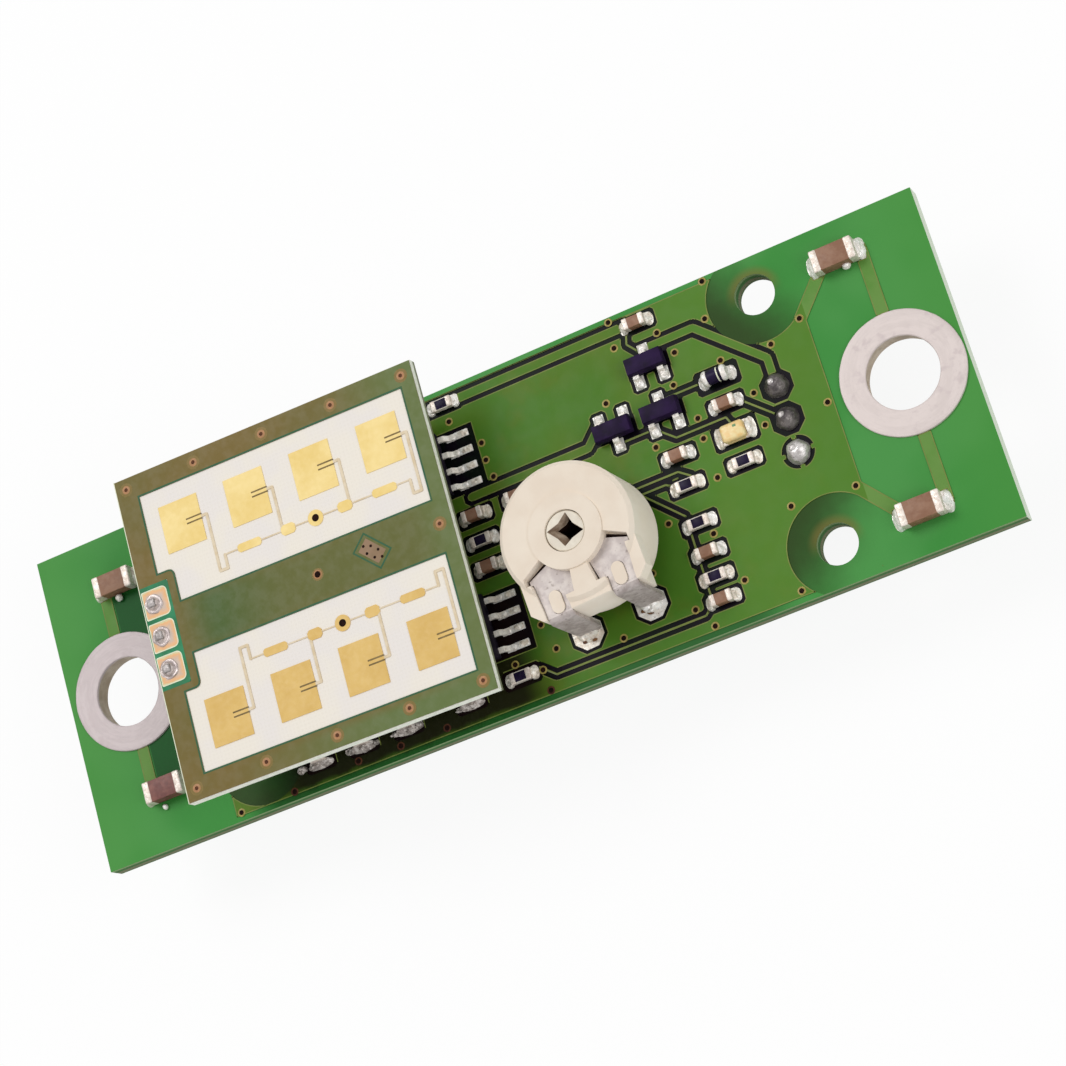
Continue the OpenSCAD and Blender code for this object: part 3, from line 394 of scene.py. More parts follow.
def pin_pad_material():
    """Thin gold that turns orange towards the pad's rim and pink-grey round the pin."""
    t = Tree("pink_gold_pad", gloss=0.2)
    x, y, z = t.xyz(t.turned(MODULE_AT, MODULE_TURN))
    row = t.math("MULTIPLY", t.math("ROUND", t.math("DIVIDE", y, PIN_PITCH)), PIN_PITCH)
    away = t.math("MAXIMUM", t.math("ABSOLUTE", t.math("ADD", x, 11.33)), t.math("ABSOLUTE", t.math("SUBTRACT", y, row)))
    away = t.math("ADD", away, t.math("MULTIPLY", t.math("SUBTRACT", t.noise(1.6, 3), 0.5), 0.5))
    colour = t.mix(t.band(away, 0.45, 0.92), (202, 184, 170), (232, 180, 128))
    colour = t.mix(t.band(away, 0.92, 1.02), colour, (216, 206, 160))
    t.colour(colour)
    t.roughness(t.band(t.noise(2, 3), 0.3, 0.7, 0.36, 0.55))
    t.bump(t.noise(2.5, 3), 0.2, 0.04)
    return t.material


M = {
    "board": board_material(),
    "pour": copper_material("mask_over_copper", (82, 115, 30), (72, 117, 34), (98, 113, 36), (84, 130, 44)),
    "track": copper_material("mask_over_track", (136, 146, 100), (122, 136, 86), (150, 156, 116), (132, 144, 98)),
    "ground": ground_material(),
    "substrate": substrate_material(),
    "gold": gold_material(),
    "feed": mottled("bare_feed_line", (222, 206, 178), (212, 192, 158), 1.5, (0.45, 0.6), 0.1),
    "pin_pad": pin_pad_material(),
    "field": mottled("green_mask", (38, 132, 88), (32, 110, 70), 0.6, (0.3, 0.4), 0.1, gloss=0.12),
    "cream_line": mottled("pale_outline", (232, 232, 208), (222, 226, 200), 2, (0.5, 0.6), 0.1),
    "window_edge": mottled("dark_mask_edge", (38, 88, 60), (54, 92, 58), 0.6, (0.35, 0.45), 0.1, gloss=0.12),
    "island": mottled("mask_over_vias", (146, 118, 92), (132, 108, 80), 0.8, (0.35, 0.45), 0.1, gloss=0.12),
    "slot": mottled("etched_slot", (136, 116, 78), (118, 100, 66), 2, (0.5, 0.6), 0.1, gloss=0.12),
    "edge_line": mottled("thin_mask_edge", (126, 136, 70), (112, 128, 60), 0.8, (0.35, 0.45), 0.1, gloss=0.12),
    "via_ring": mottled("via_ring", (176, 128, 88), (160, 116, 76), 3, (0.35, 0.5), 0.2, gloss=0.2),
    "via_ring_board": mottled("via_rim", (168, 152, 84), (138, 124, 62), 3, (0.3, 0.5), 0.2, gloss=0.2),
    # The rim for vias along the module's lower edge: flux with painted shade.
    "via_ring_shaded": mottled("via_rim_in_shade_and_flux", (92, 56, 38), (70, 40, 30), 3, (0.4, 0.6), 0.2, gloss=0.1),
    # The dark disc in a via is painted shade in the hole.
    "via_shade_disc": mottled("via_hole_painted_shade", (20, 12, 10), (40, 20, 16), 3, (0.6, 0.8), 0.1, gloss=0.05),
    "via_halo": mottled("via_halo", (132, 110, 62), (124, 106, 56), 1, (0.35, 0.45), 0.1, gloss=0.12),
    # The brown disc in the antenna vias is copper colour with painted shade.
    "via_brown": mottled("via_floor_copper_in_shade", (96, 60, 40), (78, 46, 32), 3, (0.5, 0.7), 0.1, gloss=0.1),
    "ring": ring_material(),
    "ring_wall": ring_wall_material(),
    "solder": tin_material("solder", (246, 242, 232), (222, 210, 194), (92, 68, 54), (0.24, 0.42), 0.9, 2.6, 0.2),
    "edge_tin": tin_material("speckled_tin", (214, 206, 200), (152, 142, 136), (58, 42, 38), (0.3, 0.46), 1.0, 2.8, 0.25),
    "bright_solder": tin_material("bright_solder", (250, 248, 244), (234, 228, 220), (116, 92, 76), (0.2, 0.36), 0.9, 2.2, 0.2),
    "dull_solder": tin_material("flux_covered_solder", (112, 106, 104), (70, 64, 66), (150, 144, 142), (0.24, 0.42), 1.0, 1.3, 0.45),
    "wrinkled_solder": tin_material("wrinkled_solder", (206, 202, 200), (172, 166, 164), (84, 76, 76), (0.24, 0.4), 1.0, 1.6, 0.45),
    "dull_tin": tin_material("pin_joint_tin", (200, 188, 184), (172, 160, 158), (122, 108, 106), (0.3, 0.46), 0.4, 2.2, 0.3),
    "pin": tin_material("tinned_pin", (156, 150, 148), (132, 126, 124), (186, 180, 178), (0.34, 0.5), 0.3, 2.5, 0.4),
    "plate": tin_material("tinplate", (206, 197, 192), (190, 180, 177), (146, 134, 128), (0.45, 0.6), 0.15, 1.1, 0.12),
    "strap": tin_material("strap_tin", (190, 180, 176), (164, 152, 148), (104, 90, 82), (0.42, 0.58), 0.25, 1.5, 0.12),
    "lead": tin_material("tinned_lead", (250, 246, 238), (234, 226, 216), (112, 90, 76), (0.2, 0.36), 0.6, 2.4, 0.15),
    "can": tin_material("can_tinplate", (198, 200, 204), (184, 187, 192), (160, 162, 166), (0.26, 0.38), 0.12, 0.7, 0.8),
    "cap_end": tin_material("chip_end", (238, 228, 218), (216, 202, 190), (122, 94, 80), (0.32, 0.5), 0.4, 3.4, 0.25),
    "ceramic": mottled("brown_ceramic", (148, 112, 90), (134, 96, 74), 1.6, (0.42, 0.56), 0.15, bump_scale=9),
    "ceramic_dark": mottled("plum_ceramic", (134, 88, 80), (112, 70, 66), 1.6, (0.42, 0.56), 0.15, bump_scale=9),
    "glaze": mottled("dark_glaze", (34, 24, 54), (22, 14, 38), 0.9, (0.3, 0.4), 0.1, gloss=0.1),
    "alumina": mottled("alumina", (222, 216, 206), (204, 194, 182), 1.6, (0.45, 0.6), 0.15),
    "moulded": mottled("moulding_compound", (38, 20, 58), (22, 12, 34), 0.6, (0.5, 0.6), 0.2, bump_scale=14, bump_depth=0.02, gloss=0.1),
    "black": mottled("black_moulding", (30, 24, 36), (20, 16, 26), 1.0, (0.45, 0.6), 0.2, bump_scale=14, gloss=0.1),
    "led": mottled("led_resin", (236, 216, 160), (232, 196, 130), 2.2, (0.3, 0.4), 0.1, coat=0.15),
    "led_mark": mottled("led_mark", (120, 158, 110), (104, 142, 98), 2, (0.4, 0.5), 0.1),
    "cream": cream_material(),
    "rotor": mottled("rotor_moulding", (230, 222, 206), (216, 206, 190), 0.9, (0.4, 0.55), 0.2, bump_scale=5),
    # Painted shade on the driver slot's walls, and darker painted shade on its deep wall and bottom.
    "star_wall_shade": mottled("slot_wall_painted_shade", (186, 168, 148), (132, 110, 92), 1.4, (0.5, 0.6), 0.2),
    "star_hole_shade": mottled("slot_bottom_painted_shade", (44, 24, 18), (28, 14, 12), 2, (0.6, 0.8), 0.1, gloss=0.05),
    # A dark sheet of painted shade for the gap round each terminal plate.
    "gap": mottled("dark_gap", (40, 24, 20), (28, 16, 14), 2, (0.6, 0.8), 0.1, gloss=0.05),
    "carbon": mottled("carbon_film", (52, 46, 44), (38, 34, 32), 2, (0.5, 0.7), 0.2),
    "flux": mottled("flux", (122, 82, 44), (96, 60, 34), 2, (0.15, 0.3), 0.2),
    "gold_pin": mottled("gold_flash", (214, 186, 120), (198, 168, 100), 1.5, (0.24, 0.36), 0.1, metal=0.85),
}


# mesh helpers: places are in millimetres

def piece(name, verts, faces, material, body="module", slot=None, smooth=True, stands_for=(), mats=None, face_mats=None):
    mesh = bpy.data.meshes.new(name)
    mesh.from_pydata([Vector(v) * MM for v in verts], [], faces)
    for m in mats or [material]:
        mesh.materials.append(m)
    if face_mats:
        for polygon, i in zip(mesh.polygons, face_mats):
            polygon.material_index = i
    mesh.polygons.foreach_set("use_smooth", [smooth] * len(mesh.polygons))
    mesh.update()
    obj = bpy.data.objects.new(name, mesh)
    bpy.context.scene.collection.objects.link(obj)
    if smooth:
        sharpen(obj)
    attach(obj, body)
    if stands_for:
        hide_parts(*stands_for)
    return obj


def sharpen(obj, degrees=32):
    """Marks edges sharp where faces meet at more than an angle."""
    bm = bmesh.new()
    bm.from_mesh(obj.data)
    for e in bm.edges:
        e.smooth = not (len(e.link_faces) == 2 and e.calc_face_angle(0) > math.radians(degrees))
    bm.to_mesh(obj.data)
    bm.free()


class Shape:
    """Collects faces of several parts, each with its own material, into one piece."""

    def __init__(self, *materials):
        self.verts, self.faces, self.face_mats, self.mats = [], [], [], list(materials)

    def add(self, verts, faces, mat=0, place=None):
        n = len(self.verts)
        self.verts += [tuple(place @ Vector(v)) if place else tuple(v) for v in verts]
        self.faces += [tuple(n + i for i in f) for f in faces]
        self.face_mats += [mat] * len(faces)

    def bm(self, bm, mat=0, place=None):
        bm.verts.index_update()
        self.add([v.co.copy() for v in bm.verts], [[v.index for v in f.verts] for f in bm.faces], mat, place)
        bm.free()

    def make(self, name, **options):
        return piece(name, self.verts, self.faces, None, mats=self.mats, face_mats=self.face_mats, **options)


def at(x, y, z=0.0, turn=0.0):
    return Matrix.Translation((x, y, z)) @ Matrix.Rotation(math.radians(turn), 4, "Z")


def box_bm(low, high, radius=0.05, segments=2, vertical_only=False):
    """A box with rounded edges."""
    bm = bmesh.new()
    bmesh.ops.create_cube(bm, size=1)
    low, high = Vector(low), Vector(high)
    for v in bm.verts:
        v.co = Vector(((high[i] + low[i]) / 2 + v.co[i] * (high[i] - low[i]) for i in range(3)))
    edges = [e for e in bm.edges if not vertical_only or abs((e.verts[0].co - e.verts[1].co).normalized().z) > 0.9]
    radius = min([radius] + [(high[i] - low[i]) * 0.45 for i in range(3)])
    bmesh.ops.bevel(bm, geom=edges, offset=radius, segments=segments, profile=0.5, affect="EDGES")
    return bm


def disc(shape, x, y, z, r, mat, r_in=0.0, n=20, lift=0.0, place=None):
    """A flat disc or ring, its inner edge raised by lift."""
    verts, faces = [], []
    for k in range(n):
        a = 2 * math.pi * k / n
        verts.append((x + r * math.cos(a), y + r * math.sin(a), z))
        if r_in:
            verts.append((x + r_in * math.cos(a), y + r_in * math.sin(a), z + lift))
    if r_in:
        faces = [(2 * k, 2 * ((k + 1) % n), 2 * ((k + 1) % n) + 1, 2 * k + 1) for k in range(n)]
    else:
        faces = [tuple(range(n))]
    shape.add(verts, faces, mat, place)


def lathe(shape, profile, mat, n=48, place=None, wobble=0.0, seed=0.0, closed=False):
    """A profile of (r, z) turned about Z."""
    verts, faces = [], []
    for k in range(n):
        a = 2 * math.pi * k / n
        for r, z in profile:
            p = Vector((r * math.cos(a), r * math.sin(a), z))
            if wobble:
                p += wobble * noise.noise_vector(p * 1.7 + Vector((seed, seed * 0.7, 0)))
            verts.append(p)
    m = len(profile)
    steps = m if closed else m - 1
    for k in range(n):
        for i in range(steps):
            a, b = k * m + i, k * m + (i + 1) % m
            c, d = ((k + 1) % n) * m + (i + 1) % m, ((k + 1) % n) * m + i
            faces.append((a, d, c, b))
    shape.add(verts, faces, mat, place)


def mound(shape, x0, x1, y0, y1, height, mat=0, place=None, lean=None, seed=0.0, rough=0.14, nx=12, ny=12, base=0.0, round_=0.28):
    """A blob of solder over a rectangle; lean raises it towards the side x0."""
    verts, faces = [], []
    for j in range(ny + 1):
        v = 2 * j / ny - 1
        for i in range(nx + 1):
            u = 2 * i / nx - 1
            x = (x0 + x1) / 2 + (x1 - x0) / 2 * u * (1 - round_ * v * v)
            y = (y0 + y1) / 2 + (y1 - y0) / 2 * v * (1 - round_ * u * u * (0.3 if lean and u < 0 else 1))
            t = (u + 1) / 2
            side = max(0.0, 1 - v * v) ** 0.5
            if lean:
                z = height * ((1 - t) ** lean * (0.55 + 0.45 * side) + 0.22 * math.sin(math.pi * min(1, t * 1.02)) * side)
                z *= min(1.0, (1 - abs(v)) * 5 + 0.25)
            else:
                z = height * (side * max(0.0, 1 - u * u) ** 0.5)
            z += rough * (noise.noise(Vector((x * 2.3 + seed, y * 2.3 - seed, seed))) + 0.8 * noise.noise(Vector((x * 6 - seed, y * 6 + seed, seed)))) * min(1, 6 * (1 - max(abs(u), abs(v))) + (0.5 if lean and u < 0 else 0))
            verts.append((x, y, base + max(z, 0.012)))
    w = nx + 1
    for j in range(ny):
        for i in range(nx):
            faces.append((j * w + i, j * w + i + 1, (j + 1) * w + i + 1, (j + 1) * w + i))
    rim = [i for i in range(w)] + [j * w + nx for j in range(1, ny + 1)] + [ny * w + i for i in range(nx - 1, -1, -1)] + [j * w for j in range(ny - 1, 0, -1)]
    n = len(verts)
    verts += [(verts[i][0], verts[i][1], base) for i in rim]
    m = len(rim)
    faces += [(rim[k], n + k, n + (k + 1) % m, rim[(k + 1) % m]) for k in range(m)]
    faces.append(tuple(n + k for k in range(m - 1, -1, -1)))
    shape.add(verts, faces, mat, place)


def prism(shape, outline, z0, z1, mat=0, place=None, top_mat=None):
    """An upright prism over an outline that runs anticlockwise."""
    n = len(outline)
    shape.add([(x, y, z0) for x, y in outline] + [(x, y, z1) for x, y in outline],
              [tuple(range(n - 1, -1, -1))] + [(k, (k + 1) % n, n + (k + 1) % n, n + k) for k in range(n)], mat, place)
    shape.add([(x, y, z1) for x, y in outline], [tuple(range(n))], mat if top_mat is None else top_mat, place)


def holed_plate(shape, outline, holes, z0, z1, mat, place):
    """A flat plate with holes through it."""
    loops = [[Vector((*p, 0)) for p in run] for run in [outline] + holes]
    points = [p for run in loops for p in run]
    n = len(points)
    verts = [(p.x, p.y, z0) for p in points] + [(p.x, p.y, z1) for p in points]
    faces = []
    for tri in tessellate_polygon(loops):
        a, b, c = (points[i] for i in tri)
        up = tri if (b - a).cross(c - a).z > 0 else tri[::-1]
        faces += [tuple(i + n for i in up), tuple(reversed(up))]
    start = 0
    for run in loops:
        m = len(run)
        faces += [(start + k, start + (k + 1) % m, start + (k + 1) % m + n, start + k + n) for k in range(m)]
        start += m
    shape.add(verts, faces, mat, place)


# board

def paint(node, material, slot=None):
    data = nodes[node].data
    data.materials.clear()
    data.materials.append(material)


paint("main_board", M["board"])

THIN_TRACKS = [
    [(22.94, 0.13), (20.3, 2.6)], [(15.05, 5), (18.1, 5)], [(13.65, 3.1), (14.95, 1.95), (18.8, 1.95), (19.1, 1.2)],
    [(10.8, 3.15), (13.6, 3.15)], [(9.3, -0.45), (14.3, -0.45), (15.15, -1.1)], [(9.3, -1), (13.15, -1), (13.75, -1.4)],
    [(10.4, -0.2), (13.85, -3.7)], [(13.85, -4.5), (13.85, -9.9)],
    [(13.85, -10.3), (13.1, -10.95), (1.4, -10.95), (0.3, -10)], [(13.75, 10.8), (13.5, 9.9), (14.25, 9)],
]


def off_line(p, a, b):
    a, b = Vector(a), Vector(b)
    t = max(0.0, min(1.0, (p - a).dot(b - a) / (b - a).length_squared))
    return (p - a - t * (b - a)).length


def paint_copper():
    """The thin tracks are paler than the copper area."""
    mesh = nodes["top_copper"].data
    mesh.materials.clear()
    for m in ("pour", "track"):
        mesh.materials.append(M[m])
    lines = [(a, b) for t in THIN_TRACKS for a, b in zip(t, t[1:])]
    for polygon in mesh.polygons:
        c = polygon.center / MM
        p = Vector((c.x, c.y))
        if min(off_line(p, a, b) for a, b in lines) < 0.13:
            polygon.material_index = 1


paint_copper()


def copper_edges():
    """The mask is thin along the copper's edges, so a pale line follows them."""
    mesh = nodes["top_copper"].data
    sides = {}
    for polygon in mesh.polygons:
        if polygon.normal.z < 0.9:
            continue
        points = [mesh.vertices[v].co / MM for v in polygon.vertices]
        for a, b in zip(points, points[1:] + points[:1]):
            ends = tuple(sorted((tuple(round(c, 3) for c in a), tuple(round(c, 3) for c in b))))
            sides.setdefault(ends, []).append((a.copy(), b.copy(), sum(points, Vector()) / len(points)))
    lines = Shape(M["edge_line"])
    for found in sides.values():
        a, b, middle = found[0]
        if len(found) > 1 or (b - a).length < 1e-4 or (-23 < a.x < 1 and a.y < -9.5):
            continue
        inward = Vector((a.y - b.y, b.x - a.x, 0)).normalized()
        if inward.dot(middle - a) < 0:
            inward = -inward
        step = inward * 0.07 + Vector((0, 0, 0.004))
        low = Vector((0, 0, 0.004))
        lines.add([a + low, b + low, b + step, a + step], [(0, 1, 2, 3)])
    lines.make("copper_edge_lines", slot="masked_copper", smooth=False)


copper_edges()

VIAS = [
    (12.9, 12.2), (12.75, 10.2), (16.1, 10.0), (20.4, 12.25), (19.75, 9.55), (16.9, 8.1), (10.95, 6.55), (16.1, 5.85),
    (19.9, 6.2), (23.7, 5.85), (17.05, 2.85), (21.45, 3.0), (13.5, 2.05), (17.0, 1.3), (21.5, 0.5), (17.1, -1.75),
    (12.7, -3.55), (15.6, -5.45), (21.45, -5.7), (10.5, -6.5), (16.7, -9.4), (12.7, -10.1), (13.7, -11.7),
    (20.3, -11.6), (26.2, 6.8), (26.2, 0.3), (26.2, -6.05), (-0.85, 10.0), (1.1, 7.5), (1.05, 6.15), (1.25, 4.75),
    (1.5, -6.95), (-1.2, -9.0), (2.1, -9.0), (0.7, -10.1), (7.1, -10.1), (0.85, -11.7), (-24.85, -11.8),
    (-20.3, -11.8), (-14.8, -11.4), (-11.3, -11.5), (-7.5, -11.5),
]


def via(shape, x, y, z, r_hole, r_ring, rim, dark, place=None):
    """A plated hole filled with mask: a raised rim round a dimple, whose dark disc is painted shade."""
    disc(shape, x, y, z + 0.002, r_ring, rim, r_hole, 16, 0.018, place)
    disc(shape, x, y, z + 0.006, r_hole, dark, 0, 16, 0, place)


vias = Shape(M["via_ring_board"], M["via_shade_disc"], M["via_ring_shaded"])
for vx, vy in VIAS:
    # Vias along the module's lower edge get the rim with painted shade and flux.
    via(vias, vx - 0.2, vy - 0.19, BOARD_T + 0.065, 0.19, 0.31, 2 if vy < -11 and -22 < vx < 2 else 0, 1)
vias.make("board_vias", slot="masked_copper")

for side, name in ((-1, "mounting_ring_left"), (1, "mounting_ring_right")):
    ring = Shape(M["ring"], M["ring_wall"])
    top, low, r_in, r_out = BOARD_T + 0.2, -0.2, 2.7, 4.54
    section = [(2.86, low + 0.1), (2.86, 0.2), (2.8, 0.9), (2.68, top - 0.3), (2.63, top - 0.1), (2.64, top - 0.04), (2.7, top), (2.8, top)]
    section += [(r_in + 0.1 + (r_out - r_in - 0.18) * k / 8, top) for k in range(1, 9)]
    section += [(r_out - 0.04, top - 0.01), (r_out - 0.01, top - 0.04), (r_out, top - 0.08), (r_out, BOARD_T)]
    section += [(r_in + 0.2, BOARD_T - 0.02), (r_in + 0.2, 0.02), (r_out, 0), (r_out, low + 0.06), (r_out - 0.06, low)]
    section += [(2.93, low)]
    lathe(ring, section, 0, 96, at(side * RING_X, 0), 0.012, side * 7.0, closed=True)
    ring.face_mats = [1 if i % len(section) < 3 else 0 for i in range(len(ring.faces))]
    ring.make(name + "_tinned", slot="tinned_ring", stands_for=[name])


# solder joints and surface-mounted parts

joints = Shape(M["solder"], M["bright_solder"], M["edge_tin"])
CAPS = [n for n in nodes if n.endswith("capacitor") or "capacitor_" in n]
CHIP_NODES = CAPS + [n for n in nodes if n.endswith("_resistor") or n.startswith("low_edge_chip") or n == "indicator_led"]


def chip(name):
    """A chip with rounded plated ends over its body, and the solder at both ends."""
    low, high = (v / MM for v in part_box(name))
    centre, size = (low + high) / 2, high - low
    turned = name.startswith("low_edge_chip")
    length, width = (size.y, size.x) if turned else (size.x, size.y)
    place = at(centre.x, centre.y, low.z, 90 if turned else 0)
    edge = name.startswith("edge_capacitor")
    seed = centre.x * 0.37 + centre.y
    body = "led" if name == "indicator_led" else "ceramic_dark" if name == "edge_capacitor_left_lower" else "ceramic" if name in CAPS or turned else "glaze"
    shape = Shape(M["cap_end"], M[body], M["led_mark"])
    h = size.z
    end = 0.6 if edge else 0.42
    if body == "led":
        h_end = 0.27
        shape.bm(box_bm((-length / 2 + 0.02, -width / 2 + 0.03, 0.02), (length / 2 - 0.02, width / 2 - 0.03, h_end), 0.04), 1, place)
        dome = box_bm((-length / 2 + 0.16, -width / 2 + 0.05, 0.1), (length / 2 - 0.16, width / 2 - 0.05, h), 0.24, 5)
        shape.bm(dome, 1, place)
        shape.bm(box_bm((0.12, 0.22, h - 0.02), (0.38, 0.4, h + 0.012), 0.01, 1), 2, place)
    elif body == "glaze":
        shape.mats[2] = M["alumina"]
        shape.bm(box_bm((-length / 2 + 0.05, -width / 2 + 0.02, 0.02), (length / 2 - 0.05, width / 2 - 0.02, h - 0.04), 0.03), 2, place)
        shape.bm(box_bm((-length / 2 + end - 0.03, -width / 2 + 0.09, h - 0.08), (length / 2 - end + 0.03, width / 2 - 0.09, h - 0.005), 0.03), 1, place)
    else:
        shape.bm(box_bm((-length / 2 + 0.05, -width / 2 + 0.025, 0.025), (length / 2 - 0.05, width / 2 - 0.025, h - 0.025), 0.05), 1, place)
    for side in (-1, 1):
        x0, x1 = sorted((side * length / 2, side * (length / 2 - end)))
        top = h if body != "led" else 0.28
        shape.bm(box_bm((x0, -width / 2, 0), (x1, width / 2, top), 0.09 if not edge else 0.12, 3), 0, place)
        spread = 0.42 if turned else 0.02 if edge else 0.1
        run = 0.62 if edge else 0.52
        flip = place @ Matrix.Rotation(0 if side > 0 else math.pi, 4, "Z")
        mound(joints, length / 2 - 0.12, length / 2 + run, -width / 2 - spread, width / 2 + spread, (0.62 if not edge else 0.7) * min(h, 1),
              2 if turned else 1 if (int(seed * 7) % 3 == 0) else 0, flip @ Matrix.Translation((0, 0, -0.05)), 1.5, seed + side * 3)
    shape.make(name + "_part", slot="led_resin" if body == "led" else "capacitor_ceramic" if body.startswith("ceramic") else "resistor_glaze", stands_for=[name])


for chip_name in CHIP_NODES:
    chip(chip_name)


def diode():
    low, high = (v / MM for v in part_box("signal_diode"))
    centre = (low + high) / 2
    shape = Shape(M["bright_solder"], M["glaze"], M["cream_line"])
    place = at(centre.x, centre.y, centre.z) @ Matrix.Rotation(math.pi / 2, 4, "Y")
    half, r = 1.0, 0.6
    for side in (-1, 1):
        cap = [(0, half), (0.3, half - 0.02), (0.48, half - 0.1), (r - 0.02, half - 0.24), (r, half - 0.34), (r - 0.03, half - 0.46), (0.4, half - 0.5)]
        lathe(shape, [(a, side * b) for a, b in (cap if side > 0 else reversed(cap))], 0, 32, place, 0.03, side * 3)
    body = [(0.4, -0.56), (0.52, -0.5), (0.54, -0.2), (0.54, 0.5), (0.4, 0.56)]
    lathe(shape, list(reversed(body)), 1, 32, place)
    lathe(shape, [(0.546, 0.34), (0.546, 0.24)], 2, 32, place)
    for side in (-1, 1):
        mound(joints, 0.72, 1.45, -0.55, 0.55, 0.6, 1, at(centre.x, centre.y, BOARD_T, 0 if side > 0 else 180), 1.5, side * 5.0)
    shape.make("signal_diode_part", slot="diode_glass", stands_for=["signal_diode"])


diode()


def lead(shape, y_body, y_foot, z_mid, t, width, mat, place):
    """A gull-wing lead with rounded bends, running from the body's side down to its foot."""
    knee, ankle = y_body + (y_foot - y_body) * 0.34, y_body + (y_foot - y_body) * 0.56
    path = [(y_body - 0.1, z_mid), (y_body + (knee - y_body) * 0.5, z_mid), (knee - 0.02, z_mid - 0.02), (knee + 0.05, z_mid - 0.12)]
    path += [(ankle - 0.05, t / 2 + 0.12), (ankle + 0.04, t / 2 + 0.02), (ankle + 0.14, t / 2), (y_foot - 0.02, t / 2)]
    verts, faces = [], []
    for i, (y, z) in enumerate(path):
        a = Vector(path[min(i + 1, len(path) - 1)]) - Vector(path[max(i - 1, 0)])
        nrm = Vector((-a.y, a.x)).normalized() * t / 2
        for dy, dz in ((nrm.x, nrm.y), (-nrm.x, -nrm.y)):
            verts += [(-width / 2, y + dy, z + dz), (width / 2, y + dy, z + dz)]
    for i in range(len(path) - 1):
        a, b = 4 * i, 4 * i + 4
        faces += [(a, a + 1, b + 1, b), (a + 2, b + 2, b + 3, a + 3), (a, b, b + 2, a + 2), (a + 1, a + 3, b + 3, b + 1)]
    n = 4 * (len(path) - 1)
    faces += [(0, 2, 3, 1), (n, n + 1, n + 3, n + 2)]
    shape.add(verts, faces, mat, place)


def moulded(shape, length, width, height, mat, place, draft=0.1, stand=0.1):
    """A moulded body with drafted sides and softened edges, its length along X."""
    bm = bmesh.new()
    rings = []
    for z, d in ((stand, draft), (height / 2, 0), (height, draft)):
        x, y = length / 2 - d, width / 2 - d
        rings.append([bm.verts.new(p) for p in ((-x, -y, z), (x, -y, z), (x, y, z), (-x, y, z))])
    bm.faces.new(reversed(rings[0]))
    bm.faces.new(rings[-1])
    for a, b in zip(rings, rings[1:]):
        for k in range(4):
            bm.faces.new((a[k], a[(k + 1) % 4], b[(k + 1) % 4], b[k]))
    bmesh.ops.bevel(bm, geom=[e for e in bm.edges], offset=0.05, segments=2, profile=0.5, affect="EDGES")
    shape.bm(bm, mat, place)


def transistor(name, turn):
    low, high = (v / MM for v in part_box(name))
    centre = (low + high) / 2
    place = at(centre.x, centre.y, BOARD_T + 0.05, turn)
    shape = Shape(M["moulded"], M["lead"])
    moulded(shape, 2.95, 1.35, 1.05, 0, place, 0.08)
    for x, flip in ((0, 0), (0.95, 180), (-0.95, 180)):
        spot = place @ Matrix.Rotation(math.radians(flip), 4, "Z") @ Matrix.Translation((x, 0, 0))
        lead(shape, 0.675, 1.25, 0.5, 0.13, 0.46, 1, spot)
        joints.bm(box_bm((-0.4, 0.6, -0.05), (0.4, 1.6, 0.03), 0.03, 1), 1, spot)
        mound(joints, -0.4, 0.4, 0.75, 1.62, 0.34, 1, spot @ Matrix.Translation((0, 0, -0.05)), None, centre.x + x * 3 + flip, 0.14, 10, 10, 0, 0.12)
    shape.make(name + "_part", slot="moulded_black", stands_for=[name])


def amplifier(name):
    low, high = (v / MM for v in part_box(name))
    centre = (low + high) / 2
    place = at(centre.x, centre.y, BOARD_T + 0.05)
    shape = Shape(M["black"], M["lead"], M["moulded"])
    moulded(shape, 4.9, 3.9, 1.7, 0, place @ Matrix.Rotation(math.pi / 2, 4, "Z"), 0.12)
    disc(shape, -1.3, 1.8, 1.703, 0.3, 2, place=place)
    for turn in (-90, 90):
        for k in (-1.5, -0.5, 0.5, 1.5):
            spot = place @ Matrix.Rotation(math.radians(turn), 4, "Z") @ Matrix.Translation((k * 1.27, 0, 0))
            lead(shape, 1.95, 3.0, 0.55, 0.18, 0.42, 1, spot)
            joints.bm(box_bm((-0.26, 2.3, -0.05), (0.26, 4.15, 0.02), 0.03, 1), 1, spot)
            mound(joints, -0.28, 0.28, 2.55, 3.2, 0.26, 1, spot @ Matrix.Translation((0, 0, -0.05)), None, centre.y + k * 2 + turn, 0.08, 8, 8)
            joints.bm(box_bm((-0.27, 3.0, -0.04), (0.27, 4.15, 0.1), 0.05, 2), 1, spot)
            mound(joints, -0.22, 0.22, 3.3, 4.1, 0.1, 0, spot, None, centre.y + k * 3 + turn, 0.1, 8, 12, 0.09, 0.1)
    shape.make(name + "_part", slot="moulded_black", stands_for=[name])


transistor("supply_transistor", 0)
transistor("output_transistor", 0)
transistor("switch_transistor", 180)
amplifier("amplifier_chip_upper")
amplifier("amplifier_chip_lower")


# header

header = Shape(M["dull_solder"], M["wrinkled_solder"], M["pin"])
for k, dull in ((1, 0), (0, 0), (-1, 1)):
    place = at(HEADER_AT[0], HEADER_AT[1] + k * PIN_PITCH, BOARD_T)
    dome = [(0.9, 0.0), (0.87, 0.12), (0.78, 0.36), (0.62, 0.58), (0.43, 0.74), (0.23, 0.82), (0.0, 0.84)]
    lathe(header, dome, dull, 40, place, 0.12, k * 5.0)
    header.bm(box_bm((-0.4, -0.02, 0.3), (0.08, 0.44, 0.9), 0.16, 3), 1, place)
header.make("header_joints", slot="solder", stands_for=["header_solder"])
paint("header_pins", M["gold_pin"])
paint("header_spacer", M["black"])
paint("underside_solder", M["solder"])


# antenna module

